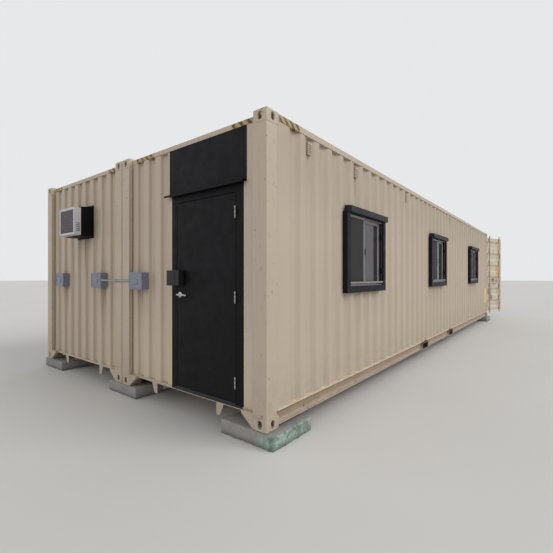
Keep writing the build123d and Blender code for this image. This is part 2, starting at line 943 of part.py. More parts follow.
with BuildPart() as window_glass:
    for x, y, width in glass_places:
        with Locations((x, y, z_window)):
            Box(glass_thickness, width, clear_height - 2 * sash_face)
save(window_glass, "window_glass")

with BuildPart() as window_sills:
    for y in window_ys:
        with Locations((x_surround - plate, y, z_window - clear_height / 2 + sill_strip_rise)):
            Box(
                surround_proud - plate - sash_depth + side_inset,
                clear_width,
                sill_strip_height,
                align=(Align.MAX, Align.CENTER, Align.MIN),
            )
save(window_sills, "window_sills")


# Small vents in the wall's hollows under the top side rail
first_hollow = y_wall_start + side_lead + (side_pitch - side_outer_flat) / 2
vent_ys = [first_hollow + rib * side_pitch for rib in vent_ribs]
with BuildPart() as side_vents:
    for face, side in ((right_face, 1), (centres[1] - half_width, -1)):
        x = face - side * (side_inset + side_depth)
        for y in vent_ys:
            with Locations((x + side * vent_depth / 2, y, z_rail_low - vent_drop)):
                Box(vent_depth, vent_width, vent_height, align=(Align.CENTER, Align.CENTER, Align.MAX))
save(side_vents, "side_vents")


# Air conditioner: its chassis passes through a black sleeve, its wider cabinet stands in front
sleeve_x = (sleeve_left + sleeve_right) / 2
z_chassis = z_sleeve + sleeve_height / 2
cooler_x = right_face - cooler_from_right - cooler_width / 2
z_cooler = z_base + cooler_bottom + cooler_height / 2
with BuildPart() as cooler_sleeve:
    with BuildSketch(Plane.YZ.offset(sleeve_left)):
        with BuildLine():
            Polyline(
                (y_front - sleeve_reach, z_sleeve),
                (y_front - sleeve_reach, z_sleeve + sleeve_height),
                (y_front_frame, z_sleeve + sleeve_height + sleeve_slope),
                (y_front_frame + sleeve_inward, z_sleeve + sleeve_height + sleeve_slope),
                (y_front_frame + sleeve_inward, z_sleeve),
                close=True,
            )
        make_face()
    extrude(amount=sleeve_width)
    with BuildSketch(Plane.XZ.offset(-(y_front - sleeve_reach))):
        with Locations((sleeve_x, z_chassis)):
            Rectangle(chassis_width, chassis_height)
    extrude(amount=-(sleeve_reach + front_setback + sleeve_inward), mode=Mode.SUBTRACT)
save(cooler_sleeve, "cooler_sleeve")

with BuildPart() as cooler_case:
    with BuildSketch(Plane.XZ.offset(-(y_front - cooler_reach + grille_bar))):
        with Locations((cooler_x, z_cooler)):
            Rectangle(cooler_width, cooler_height)
    extrude(amount=-(cooler_reach - grille_bar - sleeve_reach))
    with BuildSketch(Plane.XZ.offset(-(y_front - sleeve_reach))):
        with Locations((sleeve_x, z_chassis)):
            Rectangle(chassis_width, chassis_height)
    extrude(amount=-(sleeve_reach + front_setback + cooler_inward))
save(cooler_case, "cooler_case")

bar_count = int((cooler_height - 2 * cooler_shell) // grille_pitch)
with BuildPart() as cooler_grille:
    with BuildSketch(Plane.XZ.offset(-(y_front - cooler_reach))):
        with Locations((cooler_x, z_cooler)):
            Rectangle(cooler_width, cooler_height)
            Rectangle(cooler_width - 2 * cooler_shell, cooler_height - 2 * cooler_shell, mode=Mode.SUBTRACT)
            with GridLocations(0, grille_pitch, 1, bar_count):
                Rectangle(cooler_width - 2 * cooler_shell, grille_bar)
    extrude(amount=-grille_bar)
save(cooler_grille, "cooler_grille")


# Grey boxes on the front, each with a screwed cover, and the conduit between two of them
y_box_back = y_front_frame + plate
box_xs = [right_face - place - box_width / 2 for place in box_places]
z_box = z_base + box_bottom
with BuildPart() as wall_boxes:
    with BuildSketch(Plane.XZ.offset(-y_box_back)):
        with Locations([(x, z_box + box_height / 2) for x in box_xs]):
            Rectangle(box_width, box_height)
    extrude(amount=box_depth - box_cover)
    with BuildSketch(Plane.XZ.offset(-(y_box_back - box_depth + box_cover))):
        with Locations([(x, z_box + box_height / 2) for x in box_xs]):
            Rectangle(box_width + box_cover, box_height + box_cover)
    extrude(amount=box_cover)
save(wall_boxes, "wall_boxes")

with BuildPart() as conduit:
    with BuildSketch(Plane.YZ.offset(box_xs[1] + box_width / 2)):
        with Locations((y_front - conduit_clearance - conduit_radius, z_box + box_height / 2)):
            RegularPolygon(conduit_radius, knuckle_sides)
            RegularPolygon(conduit_radius - 2 * steel, knuckle_sides, mode=Mode.SUBTRACT)
    extrude(amount=box_xs[2] - box_xs[1] - box_width)
save(conduit, "conduit")


# Cargo doors. Each leaf is drawn on its own upright plane: the plane's X runs from the hinge
# pin to the free edge, its Y is up and its normal points out of the container.
z_leaf = z_floor + cargo_bottom_gap
leaf_height = z_rail_top - rear_header_height - cargo_bottom_gap - z_leaf
leaf_start = rear_post_across - cargo_pin_inset + cargo_edge_gap
pin_out = y_rear - cargo_pin_setback
right_pin = right_face - cargo_pin_inset
open_leaf = Plane(
    origin=(right_pin, pin_out, z_leaf),
    x_dir=(-cos(radians(cargo_leaf_angle)), sin(radians(cargo_leaf_angle)), 0),
    z_dir=(sin(radians(cargo_leaf_angle)), cos(radians(cargo_leaf_angle)), 0),
)
shut_leaves = [
    (Plane(origin=(centres[0] - half_width + cargo_pin_inset, pin_out, z_leaf), x_dir=(-1, 0, 0), z_dir=(0, 1, 0)), -1),
    (Plane(origin=(centres[1] + half_width - cargo_pin_inset, pin_out, z_leaf), x_dir=(-1, 0, 0), z_dir=(0, 1, 0)), 1),
    (Plane(origin=(centres[1] - half_width + cargo_pin_inset, pin_out, z_leaf), x_dir=(-1, 0, 0), z_dir=(0, 1, 0)), -1),
]
open_leaves = [(open_leaf, 1)]


def leaf_panels(leaves):
    """Steel frame with a panel of broad level ribs."""
    with BuildPart() as panels:
        for face, hand in leaves:
            middle = hand * (leaf_start + leaf_length) / 2
            width = leaf_length - leaf_start
            with BuildSketch(face.offset(-cargo_leaf_setback)):
                with Locations((middle, leaf_height / 2)):
                    Rectangle(width, leaf_height)
                    Rectangle(width - 2 * cargo_stile, leaf_height - 2 * cargo_rail, mode=Mode.SUBTRACT)
            extrude(amount=-cargo_leaf_depth)
            rib_height = leaf_height - 2 * cargo_rail
            wave = corrugation(rib_height, cargo_rib_pitch, cargo_rib_flat, cargo_rib_inner, cargo_rib_depth)
            start = hand * (leaf_start + cargo_stile)
            section = Plane(
                origin=face.from_local_coords(Vector(start, cargo_rail, -cargo_leaf_setback)),
                x_dir=face.y_dir,
                z_dir=face.x_dir * hand,
            )
            inward = -1 if section.y_dir.dot(face.z_dir) > 0 else 1
            with BuildSketch(section):
                with BuildLine():
                    Polyline(*sheet([(s, inward * d) for s, d in wave], inward * steel), close=True)
                make_face()
            extrude(amount=width - 2 * cargo_stile)
    return panels


def lock_rods(leaves):
    """Round bars with cams at both ends and a swinging handle on each bar."""
    with BuildPart() as rods:
        for face, hand in leaves:
            middle = face.offset(-cargo_leaf_setback + plate + rod_radius)
            for place in rod_places:
                level = Plane(
                    origin=middle.from_local_coords(Vector(hand * place, -rod_end_reach, 0)),
                    x_dir=face.x_dir,
                    z_dir=face.y_dir,
                )
                with BuildSketch(level):
                    RegularPolygon(rod_radius, 8, major_radius=False, rotation=22.5)
                extrude(amount=leaf_height + 2 * rod_end_reach)
                with BuildSketch(level):
                    Rectangle(cam_width, 2 * rod_radius)
                extrude(amount=cam_height)
                with BuildSketch(level.offset(leaf_height + 2 * rod_end_reach - cam_height)):
                    Rectangle(cam_width, 2 * rod_radius)
                extrude(amount=cam_height)
    return rods


def rod_brackets(leaves):
    """Saddle plates between the bars and the leaf."""
    with BuildPart() as brackets:
        for face, hand in leaves:
            outer = face.offset(-cargo_leaf_setback)
            step = (leaf_height - cargo_rail) / (bracket_count - 1)
            for place in rod_places:
                for i in range(bracket_count):
                    with BuildSketch(outer):
                        with Locations((hand * place, cargo_rail / 2 + i * step)):
                            Rectangle(bracket_width, bracket_height)
                    extrude(amount=plate)
    return brackets


def leaf_gaskets(leaves):
    """Rubber strip round the edge of the leaf."""
    with BuildPart() as gaskets:
        for face, hand in leaves:
            middle = hand * (leaf_start + leaf_length) / 2
            width = leaf_length - leaf_start
            with BuildSketch(face.offset(-cargo_leaf_setback - cargo_leaf_depth)):
                with Locations((middle, leaf_height / 2)):
                    Rectangle(width, leaf_height)
                    Rectangle(width - 2 * cargo_stile, leaf_height - 2 * cargo_stile, mode=Mode.SUBTRACT)
            extrude(amount=-gasket_width)
    return gaskets


def hinge_levels():
    """Heights of the hinge middles above the foot of a leaf."""
    margin = cargo_rail + cargo_hinge_height
    step = (leaf_height - 2 * margin) / (cargo_hinge_count - 1)
    return [margin + i * step for i in range(cargo_hinge_count)]


def leaf_straps(leaves, knuckle_outline):
    """Cranked hinge straps from the face of the leaf to the pin."""
    with BuildPart() as straps:
        for face, hand in leaves:
            for level in hinge_levels():
                flat = Plane(
                    origin=face.from_local_coords(Vector(0, level - cargo_hinge_height / 2, 0)),
                    x_dir=face.x_dir,
                    z_dir=face.y_dir,
                )
                out = 1 if flat.y_dir.dot(face.z_dir) > 0 else -1
                near = -cargo_leaf_setback
                with BuildSketch(flat):
                    add(knuckle_outline.sketch)
                    with BuildLine():
                        Polyline(
                            (0, out * cargo_hinge_radius),
                            (hand * cargo_hinge_radius, 0),
                            (hand * leaf_start, out * (near + cargo_strap_thickness)),
                            (hand * (leaf_start + cargo_strap_length), out * (near + cargo_strap_thickness)),
                            (hand * (leaf_start + cargo_strap_length), out * near),
                            (hand * leaf_start, out * near),
                            (0, -out * cargo_hinge_radius),
                            close=True,
                        )
                    make_face()
                extrude(amount=cargo_hinge_height)
    return straps


with BuildSketch() as round_knuckle:
    Circle(cargo_hinge_radius)
with BuildSketch() as plain_knuckle:
    RegularPolygon(cargo_hinge_radius, 8)

cargo_leaf = leaf_panels(open_leaves)
save(cargo_leaf, "cargo_leaf")
cargo_leaf_rods = lock_rods(open_leaves)
save(cargo_leaf_rods, "cargo_leaf_rods")
cargo_leaf_brackets = rod_brackets(open_leaves)
save(cargo_leaf_brackets, "cargo_leaf_brackets")
cargo_leaf_gasket = leaf_gaskets(open_leaves)
save(cargo_leaf_gasket, "cargo_leaf_gasket")
cargo_leaf_straps = leaf_straps(open_leaves, round_knuckle)
save(cargo_leaf_straps, "cargo_leaf_straps")
shut_cargo_doors = leaf_panels(shut_leaves)
save(shut_cargo_doors, "shut_cargo_doors")
shut_door_rods = lock_rods(shut_leaves)
save(shut_door_rods, "shut_door_rods")
shut_door_brackets = rod_brackets(shut_leaves)
save(shut_door_brackets, "shut_door_brackets")
shut_door_gaskets = leaf_gaskets(shut_leaves)
save(shut_door_gaskets, "shut_door_gaskets")
shut_door_straps = leaf_straps(shut_leaves, plain_knuckle)
save(shut_door_straps, "shut_door_straps")

# Hinge lugs on the rear posts, above and below each strap
with BuildPart() as hinge_lugs:
    for cx in centres:
        for side in (-1, 1):
            x = cx + side * (half_width - cargo_pin_inset)
            for level in hinge_levels():
                for z in (
                    z_leaf + level - cargo_hinge_height / 2 - cargo_lug_height - hinge_running_gap,
                    z_leaf + level + cargo_hinge_height / 2 + hinge_running_gap,
                ):
                    with BuildSketch(Plane.XY.offset(z)):
                        with Locations((x, pin_out + cargo_hinge_radius)):
                            Rectangle(
                                2 * cargo_hinge_radius,
                                rear_frame_setback - cargo_pin_setback + cargo_hinge_radius,
                                align=(Align.CENTER, Align.MAX),
                            )
                    extrude(amount=cargo_lug_height)
save(hinge_lugs, "hinge_lugs")
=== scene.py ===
import bpy
import bmesh
import random
from itertools import product
from math import cos, pi, radians, sin
from mathutils import Matrix, Vector, noise


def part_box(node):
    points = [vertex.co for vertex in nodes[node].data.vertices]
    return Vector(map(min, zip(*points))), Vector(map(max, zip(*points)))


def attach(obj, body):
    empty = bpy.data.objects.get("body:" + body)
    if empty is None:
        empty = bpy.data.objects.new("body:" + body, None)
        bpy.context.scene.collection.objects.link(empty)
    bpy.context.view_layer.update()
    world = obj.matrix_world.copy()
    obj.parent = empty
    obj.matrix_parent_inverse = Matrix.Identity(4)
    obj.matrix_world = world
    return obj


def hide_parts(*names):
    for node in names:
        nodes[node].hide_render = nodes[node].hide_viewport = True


# Looks of a cabin made of two shipping containers. Metres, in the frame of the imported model.

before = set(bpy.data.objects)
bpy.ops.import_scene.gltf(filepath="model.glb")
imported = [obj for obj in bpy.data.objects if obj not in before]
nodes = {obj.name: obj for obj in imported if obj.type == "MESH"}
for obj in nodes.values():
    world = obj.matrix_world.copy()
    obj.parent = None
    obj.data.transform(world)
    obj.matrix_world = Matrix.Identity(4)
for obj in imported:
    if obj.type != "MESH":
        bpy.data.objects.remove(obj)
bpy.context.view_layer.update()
rng = random.Random(7)

# Main places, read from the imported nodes
casting_low, casting_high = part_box("top_castings")
LEFT, RIGHT = casting_low[0], casting_high[0]
FRONT, REAR = casting_low[1], casting_high[1]
TOP = casting_high[2]
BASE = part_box("bottom_castings")[0][2]
MID = (LEFT + RIGHT) / 2

# Container frame: half a container's width, the castings' size and the steps of the frame
HALF = 1.219
CENTRES = (RIGHT - HALF, LEFT + HALF)
CASTING_X, CASTING_Y, CASTING_Z = 0.162, 0.178, 0.118
CASTING_LOW = TOP - CASTING_Z
CORNERS = [
    (centre, side, face, end) for centre in CENTRES for side in (-1, 1) for face, end in ((FRONT, -1), (REAR, 1))
]
FLOOR = BASE + 0.160
RAIL_TOP, RAIL_LOW = TOP - 0.009, TOP - 0.071
HEAD_LOW = TOP - 0.074
FRAME_Y = FRONT + 0.050
REAR_Y = REAR - 0.072
POST = 0.165
SILL_TOP = BASE + 0.150
POCKET_MIDDLE, POCKET_REACH, POCKET_HALF = FRONT + 5.800, 1.025, 0.179

# Sheets: thickness, step back from the frame's face, and the ribs of the long walls
STEEL = 0.002
SHEET_INSET = 0.006
SIDE_START, SIDE_END = FRONT + 0.150, REAR_Y - 0.080
SIDE_LEAD, SIDE_PITCH = 0.200, 0.273
RIB_OUTER, RIB_INNER, RIB_DEPTH = 0.072, 0.070, 0.036

# Fittings of the walls
VENT_YS = [
    SIDE_START + SIDE_LEAD + (SIDE_PITCH - RIB_OUTER) / 2 + rib * SIDE_PITCH for rib in (1, 5, 12, 23, 32, 39)
]
VENT_TOP = RAIL_LOW - 0.040
VENT_LOW = VENT_TOP - 0.128
WINDOW_YS = [FRONT + 2.013, FRONT + 5.574, FRONT + 9.440]
WINDOW_Z = BASE + 1.712
WINDOW_W, WINDOW_H = 1.056, 0.914
DOOR_W, DOOR_H = 0.914, 2.032
HINGE_GAP, LATCH_GAP, JAMB = 0.005, 0.007, 0.092
DOOR_FRAME_RIGHT = RIGHT - 0.333
DOOR_FRAME_LEFT = DOOR_FRAME_RIGHT - DOOR_W - HINGE_GAP - LATCH_GAP - 2 * JAMB
SLEEVE = (RIGHT - 3.835, RIGHT - 3.365, BASE + 1.976, BASE + 1.976 + 0.415 + 0.024)

# Directions, and the angle at which the open cargo leaf stands
UP, TO_RIGHT, TO_REAR = Vector((0, 0, 1)), Vector((1, 0, 0)), Vector((0, 1, 0))
TO_LEFT, TO_FRONT = -TO_RIGHT, -TO_REAR
SWING = radians(107)


def linked(name, data):
    """Object made from a mesh, a camera or a light, in the scene."""
    obj = bpy.data.objects.new(name, data)
    bpy.context.scene.collection.objects.link(obj)
    return obj


def aimed(direction):
    """Turn that points a camera or a light along a direction."""
    return Vector(direction).to_track_quat("-Z", "Y").to_euler()


def spread(low, high, count):
    """Evenly spaced values from low to high."""
    return [low + (high - low) * k / (count - 1) for k in range(count)]


# Camera at the photograph's angle
camera_data = bpy.data.cameras.new("camera")
camera_data.sensor_width = 36
camera_data.lens = 23.48
camera_data.clip_end = 400
camera = linked("camera", camera_data)
camera.location = (RIGHT + 2.034, FRONT - 2.441, BASE + 1.391)
camera.rotation_euler = aimed((-0.6187, 0.7856, 0))
bpy.context.scene.camera = camera


# Material helpers
class Paint:
    """Node tree of one material, with short calls for the nodes used here."""

    def __init__(self, name):
        self.mat = bpy.data.materials.new(name)
        self.mat.use_nodes = True
        self.tree = self.mat.node_tree
        self.shader = self.tree.nodes["Principled BSDF"]
        self.coord = self.node("TexCoord").outputs["Object"]
        self.x, self.y, self.z = self.split(self.coord)

    def put(self, socket, value):
        if isinstance(value, bpy.types.NodeSocket):
            self.tree.links.new(value, socket)
        else:
            socket.default_value = value

    def node(self, kind, **inputs):
        """A new node with values or links on its inputs; an underscore stands for a space."""
        node = self.tree.nodes.new(f"ShaderNode{kind}")
        for key, value in inputs.items():
            self.put(node.inputs[key.replace("_", " ")], value)
        return node

    def split(self, vector):
        return self.node("SeparateXYZ", Vector=vector).outputs

    def math(self, operation, a, b=0.0):
        node = self.node("Math")
        node.operation = operation
        self.put(node.inputs[0], a)
        self.put(node.inputs[1], b)
        return node.outputs[0]

    def plus(self, a, b):
        return self.math("ADD", a, b)

    def minus(self, a, b):
        return self.math("SUBTRACT", a, b)

    def times(self, a, b):
        return self.math("MULTIPLY", a, b)

    def away(self, value, place):
        """Distance from a place, to either side."""
        return self.math("ABSOLUTE", self.minus(value, place))

    def comb(self, value, pitch):
        """Distance from the middle of each step, in steps: 0 there and 0.5 where two steps meet."""
        return self.away(self.math("FRACT", self.math("DIVIDE", value, pitch)), 0.5)

    def stretched(self, *scale):
        return self.node("Mapping", Vector=self.coord, Scale=scale).outputs[0]

    def noise(self, scale, detail=3.0, roughness=0.55, at=None):
        made = self.node("TexNoise", Vector=at or self.coord, Scale=scale, Detail=detail, Roughness=roughness)
        return made.outputs["Fac"]

    def cells(self, scale, output="Distance"):
        return self.node("TexVoronoi", Vector=self.coord, Scale=scale).outputs[output]

    def ramp(self, value, low, high, bottom=0.0, top=1.0):
        """Smooth step from bottom to top while the value goes from low to high."""
        node = self.node("MapRange", Value=value, From_Min=low, From_Max=high, To_Min=bottom, To_Max=top)
        node.interpolation_type = "SMOOTHSTEP"
        return node.outputs[0]

    def fall(self, value, low, high, start=1.0):
        return self.ramp(value, low, high, start, 0.0)

    def band(self, value, low, full, fading, high):
        """1 between full and fading, 0 below low and above high."""
        return self.times(self.ramp(value, low, full), self.fall(value, fading, high))

    def patchy(self, grain, low, high, bottom=0.0, top=1.0):
        """Patches from noise; grain holds its scale, detail and roughness."""
        return self.ramp(self.noise(*grain), low, high, bottom, top)

    def uneven(self, scale, low, high):
        return self.patchy((scale, 4), 0.3, 0.7, low, high)

    def mix(self, amount, a, b):
        node = self.node("Mix")
        node.data_type = "RGBA"
        self.put(node.inputs[0], amount)
        for socket, value in ((node.inputs[6], a), (node.inputs[7], b)):
            self.put(socket, value if isinstance(value, bpy.types.NodeSocket) else (*value, 1.0))
        return node.outputs[2]

    def finish(self, color, roughness, bumps=(), metallic=0.0, **extra):
        self.put(self.shader.inputs["Base Color"], color)
        self.put(self.shader.inputs["Roughness"], roughness)
        self.shader.inputs["Metallic"].default_value = metallic
        for key, value in extra.items():
            self.put(self.shader.inputs[key.replace("_", " ")], value)
        below = {}
        for height, strength, distance in bumps:
            node = self.node("Bump", Strength=strength, Distance=distance, Height=height, **below)
            below = {"Normal": node.outputs[0]}
        for key, value in below.items():
            self.put(self.shader.inputs[key], value)
        return self.mat


def rgb(r, g, b):
    """Colour written in the usual 0-255 values, as linear numbers."""
    return tuple((v / 255 / 12.92) if v <= 10 else ((v / 255 + 0.055) / 1.055) ** 2.4 for v in (r, g, b))


BEIGE = rgb(184, 170, 153)
BEIGE_LIGHT = rgb(193, 180, 163)
BEIGE_DARK = rgb(172, 157, 139)
CREAM = rgb(212, 204, 184)
DIRT = rgb(112, 92, 70)
RUST = rgb(104, 58, 32)


# Layers of the container paint: each takes a paint and its colour so far
def banded(stretches):
    """Slanting ochre and black bands, faded and scuffed, over stretches of one axis."""

    def layer(p, color):
        slant = p.math("FRACT", p.math("DIVIDE", p.plus(p.plus(p.x, p.y), p.z), 0.100))
        edge = p.plus(slant, p.times(p.minus(p.noise(42, 5, 0.7), 0.5), 0.22))
        ochre = p.mix(p.noise(18, 5), rgb(196, 164, 88), rgb(160, 134, 82))
        black = p.mix(p.noise(22, 5), rgb(50, 42, 32), rgb(86, 70, 50))
        paint = p.mix(p.ramp(edge, 0.44, 0.56), ochre, black)
        paint = p.mix(p.patchy((24, 7, 0.75), 0.47, 0.60, 0.0, 0.8), paint, rgb(168, 152, 124))
        for axis, low, high in stretches:
            inside = p.band((p.x, p.y)[axis], low - 0.006, low + 0.006, high - 0.006, high + 0.006)
            color = p.mix(inside, color, paint)
        return color

    return layer


def rail_shade_and_highlights(p, color):
    """Shaded web of a bottom rail as painted shade, with a dark painted shadow line under its pale lip, and the pale
    lip and pale foot as painted highlights.
    """
    # Painted shade over the web, darker in its upper part.
    web = p.times(p.fall(p.z, FLOOR - 0.010, FLOOR - 0.006), p.patchy((5, 5), 0.3, 0.7, 0.75, 0.95))
    shade = p.mix(p.ramp(p.z, BASE + 0.050, BASE + 0.080), rgb(176, 160, 148), rgb(145, 127, 110))
    color = p.mix(web, color, shade)
    # Painted shadow: a dark line just under the lip.
    line = p.band(p.z, FLOOR - 0.060, FLOOR - 0.022, FLOOR - 0.009, FLOOR - 0.006)
    color = p.mix(p.times(line, 0.8), color, rgb(122, 106, 86))
    # Painted highlight: a pale band along the foot.
    color = p.mix(p.fall(p.z, BASE + 0.036, BASE + 0.046, 0.8), color, rgb(192, 177, 164))
    # Painted highlight: the pale lip, with yellowish patches.
    lip = p.mix(p.patchy((3, 6, 0.7), 0.50, 0.66), rgb(222, 206, 186), rgb(224, 200, 148))
    return p.mix(p.ramp(p.z, FLOOR - 0.010, FLOOR - 0.006, 0.0, 0.9), color, lip)


def pocket_shade(p, color):
    """Painted shade: dark inside of the fork pockets."""
    across = p.times(p.minus(RIGHT - 0.012, p.x), p.minus(p.x, LEFT + 0.012))
    along = p.away(p.away(p.y, POCKET_MIDDLE), POCKET_REACH)
    inner = p.times(p.math("GREATER_THAN", across, 0.0), p.math("LESS_THAN", along, POCKET_HALF))
    return p.mix(p.times(inner, 0.97), color, p.mix(p.noise(7, 5), rgb(16, 13, 11), rgb(40, 32, 26)))


def eave_shade_and_foot_highlight(p, color):
    """Greyer towards the eaves as painted shade, with a painted highlight as a pale line along the foot of the wall."""
    color = p.mix(p.ramp(p.z, TOP - 1.15, TOP - 0.15, 0.0, 0.42), color, rgb(158, 145, 128))
    # Painted highlight: a pale line along the foot of the wall.
    return p.mix(p.fall(p.z, FLOOR + 0.004, FLOOR + 0.020, 0.7), color, rgb(222, 207, 187))


# Painted light: the lower part of the front wall turns paler towards the right.
def painted_light_lower_right(p, color):
    amount = p.times(p.fall(p.z, BASE + 0.25, BASE + 1.40, 0.55), p.ramp(p.x, MID - 1.4, MID + 0.4))
    return p.mix(amount, color, rgb(206, 191, 170))


def shade_under_door(p, color):
    """Painted shade: a dark upper edge of the front sill under the entrance frame."""
    left, right = DOOR_FRAME_LEFT - 0.006, DOOR_FRAME_RIGHT
    across = p.band(p.x, left, left + 0.004, right - 0.004, right)
    under = p.times(across, p.ramp(p.z, BASE + 0.1265, BASE + 0.1285))
    return p.mix(under, color, p.mix(p.noise(8, 5), rgb(10, 10, 12), rgb(22, 21, 22)))


def leaf_marks(p, color):
    """Worn coloured patches, on the outer side of the open leaf alone."""
    normal = p.split(p.node("TexCoord").outputs["Normal"])
    outer = p.ramp(p.minus(p.times(normal[0], 0.956), p.times(normal[1], 0.292)), 0.05, 0.20)
    for place, height, half_y, half_z, tint in (
        (REAR + 0.90, TOP - 1.32, 0.13, 0.22, rgb(216, 158, 84)),
        (REAR + 0.93, TOP - 1.68, 0.11, 0.10, rgb(196, 162, 156)),
        (REAR + 0.40, TOP - 2.14, 0.13, 0.26, rgb(84, 108, 88)),
    ):
        across = p.fall(p.away(p.y, place), half_y * 0.3, half_y * 1.3)
        up = p.fall(p.away(p.z, height), half_z * 0.3, half_z * 1.3)
        worn = p.plus(p.times(across, up), p.times(p.noise(13, 7, 0.75), 1.4))
        color = p.mix(p.times(p.ramp(worn, 1.02, 1.40, 0.0, 0.9), outer), color, tint)
    return color


def container_paint(name, rust=0.0, dust=0.30, light=False, waviness=0.0, under=(), stains=(), over=()):
    """Beige steel paint with faint streaks, dust low down, rust spots and stains below fittings."""
    p = Paint(name)
    color = p.mix(p.noise(0.9, 4), BEIGE_DARK, BEIGE_LIGHT)
    color = p.mix(0.55, color, CREAM if light else BEIGE)
    for layer in under:
        color = layer(p, color)
    streaks = p.noise(1.0, 5, 0.65, p.stretched(17, 17, 0.55))
    color = p.mix(p.ramp(streaks, 0.56, 0.80, 0.0, 0.16), color, DIRT)
    splash = p.times(p.fall(p.z, BASE + 0.02, BASE + 0.75, dust), p.patchy((9, 6, 0.7), 0.35, 0.7))
    color = p.mix(splash, color, rgb(134, 118, 97))
    color = p.mix(p.patchy((55, 4, 0.7), 0.70, 0.76, 0.0, 0.35), color, rgb(140, 112, 84))
    for axis, place, half, top, length, strength in stains:
        side = p.fall(p.away((p.x, p.y)[axis], place), half * 0.35, half * 1.1)
        fade = p.band(p.z, top - length, top, top, top + 0.01)
        run = p.ramp(p.noise(1.0, 4, 0.6, p.stretched(34, 34, 0.9)), 0.38, 0.66)
        amount = p.times(p.times(side, fade), p.times(run, strength))
        color = p.mix(amount, color, rgb(120, 84, 54))
    if rust:
        less = 0.1 * rust
        color = p.mix(p.patchy((14, 7, 0.72), 0.60 - less, 0.70, 0.0, 0.35), color, rgb(150, 112, 78))
        chips = p.patchy((16, 7, 0.72), 0.66 - less, 0.70 - less, 0.0, 0.9)
        color = p.mix(chips, color, p.mix(p.noise(120, 3), RUST, rgb(70, 44, 30)))
    for layer in over:
        color = layer(p, color)
    bumps = [(p.noise(260, 2), 0.10, 0.0006), (p.noise(38, 3), 0.08, 0.002)]
    if waviness:
        bumps.append((p.noise(1.6, 2, 0.4), waviness, 0.03))
    return p.finish(color, p.uneven(5, 0.42, 0.58), bumps)


def flat_paint(name, color, worn, roughness, dust=None, gloss=0.5):
    """Satin paint in one colour with a slightly uneven film and worn, dusty patches."""
    p = Paint(name)
    base = p.mix(p.patchy((3.5, 5, 0.6), 0.35, 0.75, 0.0, 0.6), color, worn)
    if dust:
        runs = p.ramp(p.noise(1.0, 5, 0.65, p.stretched(26, 26, 1.1)), 0.52, 0.8, 0.0, 0.22)
        base = p.mix(runs, base, dust)
    rough = p.uneven(9, roughness - 0.07, roughness + 0.09)
    return p.finish(base, rough, [(p.noise(180, 2), 0.12, 0.0006)], Specular_IOR_Level=gloss)


def metal(name, light, dark, roughness, spangle=0.0, brush=(1, 1, 120)):
    """Bare or galvanised metal, brushed along one way or spangled."""
    p = Paint(name)
    if spangle:
        tone = p.times(p.noise(6, 3), 0.6)
        color = p.mix(tone, p.mix(0.25, light, p.cells(spangle, "Color")), dark)
        color = p.mix(0.8, color, p.mix(p.noise(20, 5), dark, light))
        height = p.cells(spangle)
    else:
        height = p.noise(40, 3, 0.6, p.stretched(*brush))
        color = p.mix(height, dark, light)
    return p.finish(color, p.uneven(14, roughness - 0.06, roughness + 0.1), [(height, 0.08, 0.0004)], 0.9)


def concrete():
    """Cast blocks in plain grey, the near one with worn pale green paint and chipped edges."""
    p = Paint("cast_concrete")
    grey = p.mix(p.noise(6, 8, 0.7), rgb(124, 121, 120), rgb(166, 163, 161))
    grey = p.mix(p.patchy((1.4, 5), 0.4, 0.7, 0.0, 0.5), grey, rgb(104, 103, 101))
    green = p.mix(p.patchy((13, 6, 0.75), 0.38, 0.62), rgb(92, 116, 106), rgb(156, 176, 166))
    normal = p.split(p.node("NewGeometry").outputs["Normal"])
    upright = p.ramp(normal[2], 0.45, 0.8, 1.0, 0.15)
    near = p.times(p.ramp(p.x, RIGHT - 0.65, RIGHT - 0.60), p.fall(p.y, FRONT + 0.70, FRONT + 0.75))
    corner = p.ramp(p.plus(p.x, p.times(p.noise(5, 5), 0.12)), RIGHT - 0.145, RIGHT - 0.015)
    painted = p.times(p.times(corner, upright), near)
    color = p.mix(p.times(painted, p.patchy((5.5, 7, 0.7), 0.36, 0.54, 0.2)), grey, green)
    rim = p.plus(p.z, p.times(p.noise(24, 5, 0.7), 0.05))
    chips = p.ramp(rim, BASE + 0.006, BASE + 0.022, 0.0, 0.75)
    color = p.mix(p.times(chips, upright), color, rgb(168, 165, 156))
    color = p.mix(p.fall(p.z, 0.0, 0.07, 0.5), color, rgb(72, 70, 66))
    holes = p.times(p.fall(p.cells(60), 0.0, 0.22), p.patchy((20, 3), 0.5, 0.62))
    color = p.mix(p.times(holes, 0.6), color, rgb(70, 70, 66))
    height = p.minus(p.noise(46, 8, 0.7), p.times(holes, 0.9))
    return p.finish(color, 0.86, [(height, 0.5, 0.004), (p.noise(4, 4), 0.4, 0.01)])


def plywood():
    """Worn floor panels with grain along the room, joints and rows of screw heads."""
    p = Paint("floor_plywood")
    grain = p.noise(3.0, 8, 0.65, p.stretched(22, 1.3, 8))
    color = p.mix(grain, rgb(104, 74, 46), rgb(166, 128, 84))
    color = p.mix(p.patchy((0.7, 5), 0.4, 0.75, 0.0, 0.5), color, rgb(92, 74, 56))
    panels = ((p.x, 1.16), (p.y, 2.40))
    joints = p.math("MAXIMUM", *(p.ramp(p.comb(v, step), 0.5 - 0.003 / step, 0.5 - 0.001 / step) for v, step in panels))
    color = p.mix(joints, color, rgb(34, 26, 20))
    rows = ((p.x, 0.19), (p.y, 0.3))
    from_screw = p.plus(*(p.math("POWER", p.times(p.comb(v, step), step), 2.0) for v, step in rows))
    screws = p.fall(p.math("SQRT", from_screw), 0.004, 0.006)
    color = p.mix(screws, color, rgb(60, 58, 56))
    height = p.minus(grain, p.math("MAXIMUM", joints, screws))
    return p.finish(color, p.patchy((6, 5), 0.3, 0.7, 0.5, 0.72), [(height, 0.3, 0.0015)])


def rubber():
    p = Paint("black_rubber")
    color = p.mix(p.noise(12, 5), rgb(24, 24, 24), rgb(46, 45, 43))
    return p.finish(color, p.uneven(30, 0.62, 0.8), [(p.noise(300, 2), 0.2, 0.0005)])


